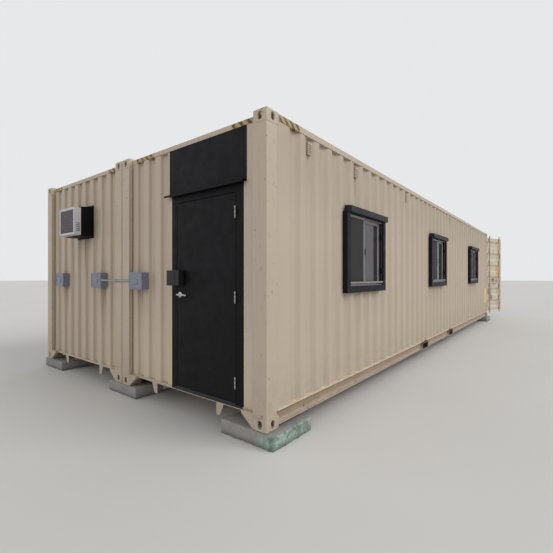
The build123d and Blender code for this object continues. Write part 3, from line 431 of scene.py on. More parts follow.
def window_glass():
    p = Paint("clear_glass")
    smear = p.patchy((4, 6, 0.7), 0.35, 0.8, 0.015, 0.10)
    color = p.mix(p.noise(3, 3), rgb(66, 65, 71), rgb(86, 85, 91))
    return p.finish(color, smear, [(p.noise(1.5, 2), 0.05, 0.001)], Transmission_Weight=0.45, IOR=1.45)


def insect_mesh():
    """Fine dark screen in front of the sliding half."""
    p = Paint("insect_screen")
    wires = p.math("MAXIMUM", *(p.ramp(p.comb(v, 0.0016), 0.26, 0.32) for v in (p.y, p.z)))
    color = p.mix(p.noise(8, 4), rgb(17, 18, 18), rgb(30, 30, 29))
    return p.finish(color, 0.7, Alpha=p.math("MAXIMUM", wires, 0.6))


def coil():
    """Thin upright fins of the air conditioner's coil."""
    p = Paint("coil_fins")
    fins = p.comb(p.x, 0.0028)
    color = p.mix(p.ramp(fins, 0.1, 0.4), rgb(112, 104, 112), rgb(60, 54, 60))
    color = p.mix(p.patchy((10, 5), 0.4, 0.8, 0.0, 0.5), color, rgb(92, 84, 80))
    return p.finish(color, 0.5, [(fins, 0.4, 0.001)], 0.4)


# Stains as (axis, place, half width, top, length, strength), and bands as (axis, low, high)
FRONT_STAINS = [
    (0, RIGHT - 3.60, 0.24, BASE + 1.98, 0.80, 0.75),
    (0, RIGHT - 4.30, 0.15, BASE + 1.24, 0.65, 0.55),
    (0, RIGHT - 3.08, 0.15, BASE + 1.24, 0.60, 0.50),
    (0, RIGHT - 2.06, 0.15, BASE + 1.24, 0.60, 0.50),
    (0, RIGHT - 1.55, 0.05, BASE + 2.75, 1.60, 0.25),
]
SIDE_STAINS = [(1, y, 0.66, WINDOW_Z - 0.515, 0.6, 0.22) for y in WINDOW_YS]
SIDE_STAINS += [(1, y, 0.05, VENT_LOW + 0.005, 0.5, 0.6) for y in VENT_YS]
SIDE_STAINS += [(1, y, 0.03, VENT_LOW + 0.002, 0.07, 1.6) for y in VENT_YS]
HEADER_BANDS = [
    (0, RIGHT - 0.483, RIGHT - 0.172),
    (0, RIGHT - 2.179, RIGHT - 1.804),
    (0, RIGHT - 2.894, RIGHT - 2.495),
    (0, LEFT + 0.162, LEFT + 0.470),
]
RAIL_BANDS = [(1, FRONT + 0.178, FRONT + 0.519), (1, REAR - 0.519, REAR - 0.178)]
MATS = {
    "wall_front": container_paint(
        "beige_paint_front", dust=0.04, waviness=0.25, under=[painted_light_lower_right], stains=FRONT_STAINS
    ),
    "wall_side": container_paint("beige_paint_side", waviness=0.30, under=[eave_shade_and_foot_highlight], stains=SIDE_STAINS),
    "frame_paint": container_paint("beige_paint_frame", 0.25),
    "worn_paint": container_paint("beige_paint_worn", 0.9),
    "casting_paint": container_paint("beige_paint_castings", 0.45),
    "vent_paint": container_paint("beige_paint_vents", 0.6),
    "header_paint": container_paint("beige_paint_headers", 0.25, under=[banded(HEADER_BANDS)]),
    "top_rail_paint": container_paint("beige_paint_top_rails", 0.25, under=[banded(RAIL_BANDS)]),
    "rail_paint": container_paint("beige_paint_bottom_rails", 0.6, under=[rail_shade_and_highlights]),
    "pocket_paint": container_paint("beige_paint_pockets", 0.6, under=[rail_shade_and_highlights, pocket_shade]),
    "bar_paint": container_paint("beige_paint_bars", 0.8),
    "leaf_paint": container_paint("cream_paint_leaves", 0.45, light=True),
    "open_leaf_paint": container_paint("cream_paint_open_leaf", 0.5, light=True, over=[leaf_marks]),
    "sill_front": container_paint("beige_paint_front_sills", 0.25, over=[shade_under_door]),
    "door_paint": flat_paint("black_door_paint", rgb(9, 9, 13), rgb(15, 15, 20), 0.52, rgb(34, 33, 36), 0.16),
    "trim_paint": flat_paint("black_trim_paint", rgb(12, 12, 13), rgb(18, 17, 17), 0.54, rgb(32, 30, 28), 0.14),
    "lock_paint": flat_paint("lock_shield_paint", rgb(34, 33, 34), rgb(48, 46, 46), 0.48, gloss=0.3),
    "window_paint": flat_paint("dark_window_paint", rgb(17, 15, 23), rgb(25, 23, 33), 0.55, gloss=0.16),
    "hood_paint": flat_paint("dark_hood_paint", rgb(42, 41, 46), rgb(52, 51, 55), 0.55, gloss=0.16),
    "sash_light": flat_paint("light_sash", rgb(134, 131, 135), rgb(152, 149, 151), 0.45),
    "sash_dark": flat_paint("dark_sash", rgb(80, 78, 92), rgb(94, 92, 104), 0.45, gloss=0.4),
    "sill_paint": flat_paint("light_sill", rgb(126, 122, 124), rgb(150, 146, 146), 0.45),
    "cooler_cream": flat_paint("cooler_cabinet", rgb(194, 194, 199), rgb(210, 210, 213), 0.5, rgb(130, 118, 108)),
    "cooler_grey": flat_paint("cooler_grille_grey", rgb(126, 120, 126), rgb(150, 144, 148), 0.5),
    "enamel": flat_paint("grey_enamel_box", rgb(118, 121, 136), rgb(136, 140, 155), 0.42, rgb(104, 88, 74)),
    "orange": flat_paint("orange_plate_paint", rgb(218, 186, 130), rgb(208, 158, 98), 0.5, rgb(172, 128, 88)),
    "galvanised": metal("galvanised_tube", (0.48, 0.48, 0.49), (0.26, 0.26, 0.27), 0.42, spangle=70),
    "stainless": metal("satin_stainless", (0.58, 0.575, 0.56), (0.42, 0.41, 0.40), 0.30),
    "hinge_steel": metal("dull_hinge_steel", (0.36, 0.355, 0.35), (0.24, 0.235, 0.23), 0.42),
    "aluminium": metal("dulled_aluminium", (0.055, 0.055, 0.058), (0.035, 0.035, 0.037), 0.55, brush=(120, 2, 2)),
    "concrete": concrete(),
    "plywood": plywood(),
    "rubber": rubber(),
    "glass": window_glass(),
    "screen": insect_mesh(),
    "coil": coil(),
}
# Slot of each material that a piece made here wears
SLOT_OF = {
    look: slot
    for slot, looks in {
        "container_paint": "wall_front wall_side frame_paint worn_paint casting_paint vent_paint bar_paint orange",
        "black_paint": "door_paint lock_paint trim_paint",
        "window_frame": "screen",
        "sash": "sash_light sash_dark",
        "cooler_plastic": "cooler_cream cooler_grey",
        "cooler_metal": "coil",
        "grey_enamel": "enamel",
        "galvanised": "galvanised",
        "stainless": "stainless hinge_steel",
        "concrete": "concrete",
        "rubber": "rubber",
    }.items()
    for look in looks.split()
}


# Mesh helpers
def mesh_of(name, bm):
    mesh = bpy.data.meshes.new(name)
    bm.to_mesh(mesh)
    bm.free()
    return mesh


def from_mesh(name, mesh, material, body, sharp, replaced):
    """One finished object: smooth shading with sharp edges kept, on a body."""
    for polygon in mesh.polygons:
        polygon.use_smooth = True
    mesh.set_sharp_from_angle(angle=radians(sharp))
    obj = linked(name, mesh)
    mesh.materials.append(MATS[material])
    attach(obj, body)
    if replaced:
        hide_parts(*replaced)
    return obj


def piece(name, bm, material, body="cabin", sharp=30, replaced=()):
    """The same from loose faces, with their meeting points joined and all facing outward."""
    bmesh.ops.remove_doubles(bm, verts=bm.verts, dist=0.00002)
    bmesh.ops.recalc_face_normals(bm, faces=bm.faces)
    from_mesh(name, mesh_of(name, bm), material, body, sharp, replaced)


def add_skin(bm, rings, capped=True):
    """Faces over rings with equally many points, and over both ends."""
    rings = [[bm.verts.new(point) for point in ring] for ring in rings]
    for first, second in zip(rings, rings[1:]):
        for corners in zip(first, first[1:] + first[:1], second[1:] + second[:1], second):
            bm.faces.new(corners)
    if capped:
        bm.faces.new(rings[0])
        bm.faces.new(rings[-1])


def add_box(bm, low, high, bevel=0.002, turn=None, segments=2):
    """A box between two corners with rounded edges; turn is a matrix applied afterwards."""
    size = [abs(h - l) for l, h in zip(low, high)]
    middle = Vector([(l + h) / 2 for l, h in zip(low, high)])
    made = bmesh.ops.create_cube(bm, size=1.0)["verts"]
    for v in made:
        v.co = Vector([c * s for c, s in zip(v.co, size)]) + middle
    if bevel:
        edges = list({e for v in made for e in v.link_edges})
        width = min(bevel, min(size) * 0.45)
        result = bmesh.ops.bevel(bm, geom=edges, offset=width, segments=segments, affect="EDGES", profile=0.5)
        made = list({v for f in result["faces"] for v in f.verts} | {v for v in made if v.is_valid})
    if turn:
        bmesh.ops.transform(bm, matrix=turn, verts=made)


def square_to(direction):
    """Two unit vectors square to a direction."""
    d = Vector(direction).normalized()
    helper = UP if abs(d.z) < 0.9 else TO_RIGHT
    u = d.cross(helper).normalized()
    return u, d.cross(u).normalized()


def circle(centre, u, w, radius, steps):
    return [centre + (u * cos(a) + w * sin(a)) * radius for a in (2 * pi * i / steps for i in range(steps))]


def add_lathe(bm, origin, direction, profile, steps=20):
    """A turned shape: profile gives (distance along the axis, radius) pairs, closed at both ends."""
    d = Vector(direction).normalized()
    u, w = square_to(d)
    rings = []
    for along, radius in profile:
        centre = Vector(origin) + d * along
        points = circle(centre, u, w, radius, steps) if radius > 1e-6 else [centre]
        rings.append([bm.verts.new(point) for point in points])
    for first, second in zip(rings, rings[1:]):
        for i in range(steps):
            j = (i + 1) % steps
            around = [first[i % len(first)], first[j % len(first)], second[j % len(second)], second[i % len(second)]]
            corners = list(dict.fromkeys(around))
            if len(corners) > 2:
                bm.faces.new(corners)
    for ring in (rings[0], rings[-1]):
        if len(ring) > 2:
            bm.faces.new(ring)


def barrel(length, radius, end_radius, edge):
    """Profile of a straight turned shape with softened ends."""
    return [(0, end_radius), (edge, radius), (length - edge, radius), (length, end_radius)]


def add_rod(bm, start, end, radius, steps=16, round_off=0.15):
    """A straight bar with slightly rounded ends."""
    run = Vector(end) - Vector(start)
    edge = radius * round_off
    add_lathe(bm, start, run, barrel(run.length, radius, radius - edge, edge), steps)


def add_screw(bm, place, direction, radius=0.005, hex_head=False):
    """A domed or six-sided head standing on a face."""
    if hex_head:
        washer = radius * 0.25
        add_lathe(bm, place, direction, [(0, radius * 1.5), (washer, radius * 1.5)], 18)
        place = Vector(place) + Vector(direction).normalized() * washer
        add_lathe(bm, place, direction, [(0, radius), (radius * 0.75, radius), (radius * 0.85, radius * 0.86)], 6)
    else:
        dome = [(0, 1), (0.35, 0.92), (0.6, 0.6), (0.68, 0.2)]
        add_lathe(bm, place, direction, [(radius * a, radius * r) for a, r in dome], 14)


def add_prism(bm, outline, origin, u, v, depth):
    """A flat outline (pairs along u and v) given a depth along their cross product."""
    u, v, origin = Vector(u), Vector(v), Vector(origin)
    face = bm.faces.new([bm.verts.new(origin + u * a + v * b) for a, b in outline])
    top = bmesh.ops.extrude_face_region(bm, geom=[face])
    moved = [g for g in top["geom"] if isinstance(g, bmesh.types.BMVert)]
    bmesh.ops.translate(bm, vec=u.cross(v) * depth, verts=moved)


def add_bead(bm, points, radius):
    """A weld bead along a line of points, uneven like a real run."""
    points = [Vector(p) for p in points]
    rings = []
    for a, b in zip(points, points[1:]):
        count = max(2, int((b - a).length / 0.012))
        u, w = square_to(b - a)
        for i in range(1 if rings else 0, count + 1):
            uneven = radius * (0.85 + 0.3 * rng.random())
            rings.append(circle(a.lerp(b, i / count), u, w, uneven, 6))
    add_skin(bm, rings)


def add_frame(bm, s0, s1, t0, t1, profile, place):
    """A mitred rectangular frame: profile holds (inset, depth) pairs, place(s, t, d) gives points."""
    loops = []
    for inset, depth in [*profile, profile[0]]:
        a, b, c, d = s0 + inset, s1 - inset, t0 + inset, t1 - inset
        loops.append([place(s, t, depth) for s, t in ((a, c), (b, c), (b, d), (a, d))])
    add_skin(bm, loops, capped=False)


def on_front(y):
    return lambda s, t, d: (s, y + d, t)


def on_side(x):
    return lambda s, t, d: (x + d, s, t)


def add_loft(bm, sections, steps=20, power=2.6):
    """A rounded bar through (centre, u, v, half u, half v) sections, closed at both ends."""
    rings = []
    for centre, u, v, half_u, half_v in sections:
        ring = []
        for i in range(steps):
            c, s = cos(2 * pi * i / steps), sin(2 * pi * i / steps)
            cu = abs(c) ** (2 / power) * (1 if c >= 0 else -1)
            sv = abs(s) ** (2 / power) * (1 if s >= 0 else -1)
            ring.append(Vector(centre) + Vector(u) * half_u * cu + Vector(v) * half_v * sv)
        rings.append(ring)
    add_skin(bm, rings)


def half_round(radius):
    """Half a circle in 12 steps."""
    return [(radius * cos(pi * i / 12), radius * sin(pi * i / 12)) for i in range(13)]


def slot_outline(length, width, steps=10):
    """Outline of a slot with round ends, its length along the second axis."""
    radius, reach = width / 2, (length - width) / 2
    turns = [(start + pi * i / steps, shift) for start, shift in ((0.0, reach), (pi, -reach)) for i in range(steps + 1)]
    return [(radius * cos(a), shift + radius * sin(a)) for a, shift in turns]


def carved(name, solid, cutters, soften):
    """Mesh of a solid with the cutters taken away and its new edges softened."""
    for bm in (solid, *cutters):
        bmesh.ops.recalc_face_normals(bm, faces=bm.faces)
    base = linked(name, mesh_of(name, solid))
    tools = [linked(f"{name}_cut", mesh_of(f"{name}_cut", cutter)) for cutter in cutters]
    for tool in tools:
        cut = base.modifiers.new("cut", "BOOLEAN")
        cut.operation = "DIFFERENCE"
        cut.solver = "EXACT"
        cut.object = tool
    soft_edges(base, soften, 50)
    mesh = bpy.data.meshes.new_from_object(base.evaluated_get(bpy.context.evaluated_depsgraph_get()))
    for obj in (base, *tools):
        bpy.data.objects.remove(obj)
    return mesh


def soft_edges(obj, width, angle):
    edge = obj.modifiers.new("edge", "BEVEL")
    edge.width = width
    edge.segments = 2
    edge.limit_method = "ANGLE"
    edge.angle_limit = radians(angle)
    return edge


# Corrugated sheets with rounded bends, in place of the sharp solids
def wave(length, pitch, outer, inner, depth, lead=0.0):
    """Corners (along, depth) of a trapezoid wave that starts and ends on its outer side."""
    count = int((length - lead + outer - 2 * STEEL) // pitch)
    slope = (pitch - outer - inner) / 2
    path = [(0.0, 0.0)]
    at = lead or (length - count * pitch + outer) / 2
    for _ in range(count):
        path += [(at, 0.0), (at + slope, depth), (at + slope + inner, depth), (at + 2 * slope + inner, 0.0)]
        at += pitch
    return path + [(length, 0.0)]


def rounded(path, reach=0.016, steps=4):
    """The same path with a small bend at each corner."""
    points = [Vector(p) for p in path]
    out = [points[0]]
    for a, b, c in zip(points, points[1:], points[2:]):
        cut = min(reach, 0.45 * (b - a).length, 0.45 * (c - b).length)
        p, q = b + (a - b).normalized() * cut, b + (c - b).normalized() * cut
        for t in (i / steps for i in range(steps + 1)):
            out.append(p * (1 - t) ** 2 + b * (2 * t * (1 - t)) + q * t * t)
    return out + [points[-1]]


def corrugated(name, path, place, low, high, material, replaced, holes=(), flip=False, rows=1):
    """Sheet made of a path (s, d) run from low to high; place(s, d, t) gives points; holes are (s0, s1, t0, t1)."""
    line = rounded(path)
    for s in (edge for hole in holes for edge in hole[:2]):
        for i, (a, b) in enumerate(zip(line, line[1:])):
            if a[0] + 1e-5 < s < b[0] - 1e-5:
                line.insert(i + 1, a.lerp(b, (s - a[0]) / (b[0] - a[0])))
                break
    between = {low + (high - low) * i / rows for i in range(1, rows)}
    levels = sorted({low, high} | {t for hole in holes for t in hole[2:]} | between)
    bm = bmesh.new()
    grid = [[bm.verts.new(place(s, d, t)) for t in levels] for s, d in line]
    for i in range(len(line) - 1):
        for j in range(len(levels) - 1):
            s, t = (line[i][0] + line[i + 1][0]) / 2, (levels[j] + levels[j + 1]) / 2
            if any(h[0] < s < h[1] and h[2] < t < h[3] for h in holes):
                continue
            corners = [grid[i][j], grid[i + 1][j], grid[i + 1][j + 1], grid[i][j + 1]]
            bm.faces.new(corners[::-1] if flip else corners)
    obj = from_mesh(name, mesh_of(name, bm), material, "cabin", 60, replaced)
    thick = obj.modifiers.new("thickness", "SOLIDIFY")
    thick.thickness = STEEL
    thick.offset = -1
    obj.modifiers.new("shading", "WEIGHTED_NORMAL").keep_sharp = True


side_run = SIDE_END - SIDE_START
side_path = wave(side_run, SIDE_PITCH, RIB_OUTER, RIB_INNER, RIB_DEPTH, SIDE_LEAD)
casting_cuts = [(s0, s1, CASTING_LOW, RAIL_LOW) for s0, s1 in ((-0.01, 0.028), (side_run - 0.026, side_run + 0.01))]
window_holes = [
    (y - WINDOW_W / 2 - SIDE_START, y + WINDOW_W / 2 - SIDE_START, WINDOW_Z - WINDOW_H / 2, WINDOW_Z + WINDOW_H / 2)
    for y in WINDOW_YS
]
for name, face, side, node, holes in (
    ("side_sheet_right", RIGHT, 1, "side_wall_right", window_holes),
    ("side_sheet_left", LEFT, -1, "side_wall_left", []),
    ("inner_sheet_right", RIGHT - 2 * HALF, -1, "inner_walls", []),
    ("inner_sheet_left", LEFT + 2 * HALF, 1, "inner_walls", []),
):
    place = lambda s, d, t: (face - side * (SHEET_INSET + d), SIDE_START + s, t)
    corrugated(name, side_path, place, FLOOR, RAIL_LOW, "wall_side", [node], [*holes, *casting_cuts], side < 0)

left_start = LEFT + POST
sleeve_hole = (SLEEVE[0] - left_start, SLEEVE[1] - left_start, SLEEVE[2], SLEEVE[3])
for name, start, stop, node, holes in (
    ("front_sheet_left", left_start, LEFT + 2 * HALF - POST, "front_wall_left", [sleeve_hole]),
    ("front_sheet_right", RIGHT - 2 * HALF + POST, DOOR_FRAME_LEFT, "front_wall_right", []),
):
    path = wave(stop - start, 0.250, 0.110, 0.104, 0.045)
    place = lambda s, d, t: (start + s, FRAME_Y + SHEET_INSET + d, t)
    corrugated(name, path, place, SILL_TOP, HEAD_LOW, "wall_front", [node], holes)

roof_start, roof_stop = FRONT + CASTING_Y, REAR - CASTING_Y
roof_path = wave(roof_stop - roof_start, 0.209, 0.090, 0.090, 0.020)
for label, centre in zip(("right", "left"), CENTRES):
    place = lambda s, d, t: (t, roof_start + s, RAIL_TOP - d)
    low, high = centre - HALF + 0.060, centre + HALF - 0.060
    corrugated(f"roof_sheet_{label}", roof_path, place, low, high, "frame_paint", ["roof_panels"], flip=True, rows=4)


# Concrete blocks with uneven faces and crumbled edges
def add_rough_block(bm, low, high, cell=0.012, reach=0.034):
    """A cast block: every face pushed inward by noise, most along the edges; the underside stays flat."""
    size = [h - l for l, h in zip(low, high)]
    counts = [round(s / cell) for s in size]
    grid = {}
    for axis in range(3):
        b, c = (axis + 1) % 3, (axis + 2) % 3
        for end, j, k in product((0, counts[axis]), range(counts[b]), range(counts[c])):
            ring = []
            for dj, dk in ((0, 0), (1, 0), (1, 1), (0, 1)):
                key = [0, 0, 0]
                key[axis], key[b], key[c] = end, j + dj, k + dk
                key = tuple(key)
                if key not in grid:
                    grid[key] = bm.verts.new([l + s * n / total for l, s, n, total in zip(low, size, key, counts)])
                ring.append(grid[key])
            bm.faces.new(ring if end else ring[::-1])
    for v in grid.values():
        near = Vector((0, 0, 0))
        for axis in range(3):
            for face, way in ((low[axis], 1), (high[axis], -1)):
                near[axis] += way * max(0.0, 1 - abs(v.co[axis] - face) / reach)
        edge = sorted(abs(n) for n in near)[1] ** 1.6
        if v.co.z < 0.001:
            near.z = 0
        grain = noise.fractal(v.co * 30, 0.9, 2.0, 4) + 0.4
        chip = noise.fractal(v.co * 11, 0.8, 2.1, 3) + 0.45
        depth = 0.0016 * max(0.0, grain) + edge * (0.004 + 0.014 * max(0.0, chip))
        if near.length:
            v.co += near.normalized() * depth


BLOCK_X, BLOCK_Y = 0.335, 0.304
OVER_SIDE, OVER_END = 0.085, 0.008
bm = bmesh.new()
for x in (RIGHT + OVER_SIDE - BLOCK_X, MID, LEFT - OVER_SIDE + BLOCK_X):
    for y in (FRONT - OVER_END + BLOCK_Y, REAR + OVER_END - BLOCK_Y):
        add_rough_block(bm, (x - BLOCK_X, y - BLOCK_Y, 0.0), (x + BLOCK_X, y + BLOCK_Y, BASE))
piece("rough_blocks", bm, "concrete", sharp=60, replaced=["concrete_blocks"])


# Corner castings with round edges and slotted holes
def casting_shape():
    """One casting, measured inward from its outer side, its outer end and its outer cap."""
    solid, hollow, cap, end, side = (bmesh.new() for _ in range(5))
    mid_x, mid_y, mid_z = CASTING_X / 2, CASTING_Y / 2, CASTING_Z / 2
    small = slot_outline(0.079, 0.051)
    add_box(solid, (0, 0, 0), (CASTING_X, CASTING_Y, CASTING_Z), bevel=0.007, segments=3)
    add_box(hollow, (0.016, 0.016, 0.0285), (CASTING_X - 0.016, CASTING_Y - 0.016, CASTING_Z - 0.016), bevel=0)
    add_prism(cap, slot_outline(0.124, 0.0635), (mid_x, mid_y, -0.01), TO_RIGHT, TO_REAR, 0.05)
    add_prism(end, small, (mid_x, -0.01, mid_z), TO_RIGHT, UP, -0.036)
    add_prism(side, small, (-0.01, mid_y, mid_z), TO_REAR, UP, 0.036)
    return carved("casting_shape", solid, [hollow, cap, end, side], 0.003)


casting = casting_shape()
for label, level, outward in (("top_castings", TOP, 1), ("bottom_castings", BASE, -1)):
    bm = bmesh.new()
    for centre, side, face, end in CORNERS:
        start = len(bm.verts)
        bm.from_mesh(casting)
        bm.verts.ensure_lookup_table()
        for v in bm.verts[start:]:
            a, b, c = v.co
            v.co = (centre + side * (HALF - a), face - end * b, level - outward * c)
    piece(f"{label}_rounded", bm, "casting_paint", sharp=40, replaced=[label])

# Weld beads where the castings meet the posts and rails
bm = bmesh.new()
for centre, side, face, end in CORNERS:
    x = centre + side * (HALF - 0.001)
    y = face - end * 0.001
    for z in (CASTING_LOW - 0.0005, BASE + CASTING_Z + 0.0005):
        add_bead(bm, [(x - side * 0.158, y, z), (x, y, z), (x, face - end * 0.146, z)], 0.004)
    for low, high, inset in ((RAIL_LOW + 0.004, RAIL_TOP - 0.004, 0.0), (BASE + 0.030, BASE + 0.112, 0.004)):
        add_bead(bm, [(x - side * inset, face - end * (CASTING_Y + 0.0005), z) for z in (low, high)], 0.0035)
piece("casting_weld_beads", bm, "frame_paint", sharp=180)

# Lug under the bottom rail between the fork pockets, and the faded orange plate on the far end of the wall
bm = bmesh.new()
for x, side in ((RIGHT, 1), (LEFT, -1)):
    low, high = (x - side * 0.044, FRONT + 6.070, BASE + 0.010), (x - side * 0.008, FRONT + 6.158, BASE + 0.0305)
    add_box(bm, low, high, bevel=0.003)
piece("rail_lugs", bm, "frame_paint", sharp=40)
bm = bmesh.new()
low, high = (RIGHT - 0.0062, SIDE_END - 0.500, FLOOR + 0.33), (RIGHT - 0.0048, SIDE_END - 0.020, FLOOR + 0.84)
add_box(bm, low, high, bevel=0.0004, segments=1)
for y, z in product((SIDE_END - 0.488, SIDE_END - 0.260, SIDE_END - 0.032), (FLOOR + 0.345, FLOOR + 0.825)):
    add_screw(bm, (RIGHT - 0.0050, y, z), TO_RIGHT, 0.004)
piece("corner_plate", bm, "orange", sharp=40)

# Rose and lever of the entrance door
DOOR_RIGHT = RIGHT - 0.430
DOOR_LOW = BASE + 0.172
lever_x, lever_z = DOOR_RIGHT - DOOR_W + 0.052, DOOR_LOW + 1.018
bm = bmesh.new()
rose = [(0, 0.0320), (0.004, 0.0320), (0.0065, 0.0305), (0.0085, 0.0260), (0.0095, 0.0140), (0.0095, 0.0)]
add_lathe(bm, (lever_x, FRAME_Y + 0.0005, lever_z), TO_FRONT, rose, 40)
piece("lever_rose_turned", bm, "stainless", body="entrance_door", sharp=50, replaced=["lever_rose"])
bm = bmesh.new()
neck, arm = FRAME_Y - 0.0105, FRAME_Y - 0.050
sections = [
    ((lever_x, neck - t, lever_z), TO_RIGHT, UP, r, r)
    for t, r in ((0, 0.0110), (0.003, 0.0115), (0.006, 0.0098), (0.020, 0.0092), (0.026, 0.0092))
]
for a in (pi / 12 * k for k in range(1, 7)):
    centre = (lever_x + 0.0125 * (1 - cos(a)), neck - 0.026 - 0.0135 * sin(a), lever_z)
    sections.append((centre, (cos(a), sin(a), 0), UP, 0.0092 - 0.0042 * sin(a), 0.0092 + 0.0006 * sin(a)))
for along, half, droop in (
    (0.030, 0.0098, 0.0),
    (0.070, 0.0096, 0.0004),
    (0.110, 0.0092, 0.0012),
    (0.142, 0.0088, 0.0020),
    (0.155, 0.0080, 0.0024),
    (0.1603, 0.0064, 0.0026),
    (0.1626, 0.0036, 0.0027),
):
    thick = 0.0044 * min(1.0, half / 0.0085)
    sections.append(((lever_x + along, arm, lever_z - droop), TO_REAR, UP, thick, half))
add_loft(bm, sections)
button = [(0, 0.0052), (0.0012, 0.0050), (0.0016, 0.0040), (0.0016, 0.0)]
add_lathe(bm, (lever_x, arm - 0.0030, lever_z), TO_FRONT, button)
piece("lever_bar", bm, "stainless", body="door_lever", sharp=50, replaced=["lever_handle"])

# Butt hinges with turned knuckles
PIN_X, PIN_Y = RIGHT - 0.4275, FRAME_Y - 0.010
KNUCKLE = 0.115 / 3
pin_end = [(0, 0.0066), (0.0016, 0.0066), (0.0030, 0.0050), (0.0036, 0.0020), (0.0037, 0.0)]
frame_bm, leaf_bm = bmesh.new(), bmesh.new()
for z in spread(DOOR_LOW + 0.190, DOOR_LOW + DOOR_H - 0.190, 3):
    for k in (-1, 0, 1):
        low, high = z + (k - 0.5) * KNUCKLE + 0.0004, z + (k + 0.5) * KNUCKLE - 0.0004
        bm, plate = (frame_bm, RIGHT - 0.427) if k else (leaf_bm, DOOR_RIGHT)
        add_lathe(bm, (PIN_X, PIN_Y, low), UP, barrel(high - low, 0.0090, 0.0082, 0.0007), 28)
        add_box(bm, (plate, PIN_Y + 0.007, low), (plate + 0.002, PIN_Y + 0.044, high), bevel=0.0003, segments=1)
    for way in (-1, 1):
        add_lathe(frame_bm, (PIN_X, PIN_Y, z + way * (1.5 * KNUCKLE - 0.0004)), (0, 0, way), pin_end)
piece("frame_hinge_knuckles", frame_bm, "hinge_steel", sharp=50, replaced=["frame_hinges"])
piece("leaf_hinge_knuckles", leaf_bm, "hinge_steel", body="entrance_door", sharp=50, replaced=["leaf_hinges"])

# Seam and screws of the lock shield; rivets round the panel over the door
bm = bmesh.new()
lock_low, lock_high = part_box("lock_box")
seam, face = lock_low[0] + 0.150, lock_low[1]
low, high = (seam, face - 0.002, lock_low[2] + 0.010), (seam + 0.0015, face + 0.002, lock_high[2] - 0.010)
add_box(bm, low, high, bevel=0.0005, segments=1)
for x, z in product((lock_low[0] + 0.016, lock_high[0] - 0.016), (lock_low[2] + 0.016, lock_high[2] - 0.016)):
    add_screw(bm, (x, face + 0.0002, z), TO_FRONT, 0.0042)
piece("lock_shield_screws", bm, "lock_paint", body="entrance_door", sharp=40)
bm = bmesh.new()
panel_low, panel_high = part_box("transom_panel")
xs = spread(panel_low[0] + 0.025, panel_high[0] - 0.025, 9)
zs = spread(panel_low[2] + 0.040, panel_high[2] - 0.022, 4)
for x, z in [*product(xs, (zs[0], zs[-1])), *product((xs[0], xs[-1]), zs[1:-1])]:
    add_screw(bm, (x, panel_low[1] + 0.0003, z), TO_FRONT, 0.0045)
piece("panel_rivets", bm, "door_paint", sharp=40)

# Window sashes with stepped bars, seals and a screen over the near half
CLEAR_W, CLEAR_H = WINDOW_W - 0.040, WINDOW_H - 0.040
SASH_BAR = [
    (0.0, 0.0), (0.0, -0.0256), (0.050, -0.0256), (0.050, -0.0180), (0.046, -0.0160),
    (0.046, -0.0075), (0.038, -0.0040), (0.034, 0.0), (0.0015, 0.0015),
]
SEAL = [(0.0445, -0.0082), (0.0445, -0.0108), (0.0535, -0.0108), (0.0530, -0.0090)]
SCREEN_BAR = [(0, 0.0275), (0, 0.0215), (0.018, 0.0215), (0.018, 0.0240), (0.014, 0.0275)]
half_w = CLEAR_W / 2
z0, z1 = WINDOW_Z - CLEAR_H / 2, WINDOW_Z + CLEAR_H / 2
near_bm, far_bm, seal_bm, screen_bm, trim_bm, pull_bm = (bmesh.new() for _ in range(6))
for y in WINDOW_YS:
    for bm, x, shift in ((far_bm, RIGHT - 0.0060, 1), (near_bm, RIGHT + 0.0196, -1)):
        width = half_w + 0.025 + shift * 0.030
        start = y + shift * (CLEAR_W - width) / 2 - width / 2
        stop = start + width
        add_frame(bm, start + 0.0008, stop - 0.0008, z0 + 0.0008, z1 - 0.0008, SASH_BAR, on_side(x))
        add_frame(seal_bm, start, stop, z0, z1, SEAL, on_side(x))
    edge, meeting = y + half_w, y - 0.005
    add_frame(trim_bm, y - half_w + 0.004, meeting - 0.050, z0 + 0.006, z1 - 0.006, SCREEN_BAR, on_side(RIGHT))
    low, high = (RIGHT + 0.0232, y - half_w + 0.020, z0 + 0.022), (RIGHT + 0.0236, meeting - 0.066, z1 - 0.022)
    add_box(screen_bm, low, high, bevel=0)
    for z in (z0 - 0.001, z1 - 0.011):
        low, high = (RIGHT + 0.021, y - half_w, z), (RIGHT + 0.0345, y + half_w, z + 0.012)
        add_box(trim_bm, low, high, bevel=0.0015, segments=1)
    low, high = (RIGHT + 0.0185, meeting - 0.034, WINDOW_Z - 0.045), (RIGHT + 0.03, meeting - 0.018, WINDOW_Z + 0.045)
    add_box(pull_bm, low, high, bevel=0.003)
    low, high = (RIGHT + 0.0215, edge - 0.003, z0 + 0.002), (RIGHT + 0.0330, edge + 0.001, z1 - 0.002)
    add_box(near_bm, low, high, bevel=0.0006, segments=1)
    for z in (WINDOW_Z + 0.235, WINDOW_Z - 0.240):
        low, high = (RIGHT + 0.022, edge - 0.016, z - 0.034), (RIGHT + 0.050, edge + 0.001, z + 0.034)
        add_box(pull_bm, low, high, bevel=0.003)
        add_lathe(pull_bm, (RIGHT + 0.036, edge - 0.021, z - 0.026), UP, barrel(0.052, 0.0060, 0.0052, 0.001), 16)
piece("sash_far_halves", far_bm, "sash_light", replaced=["window_sashes"])
piece("sash_near_halves", near_bm, "sash_dark", replaced=["window_sashes"])
piece("sash_seals", seal_bm, "rubber")
piece("screen_frames", trim_bm, "sash_light")
piece("insect_screens", screen_bm, "screen")
piece("sash_pulls", pull_bm, "trim_paint", sharp=35)
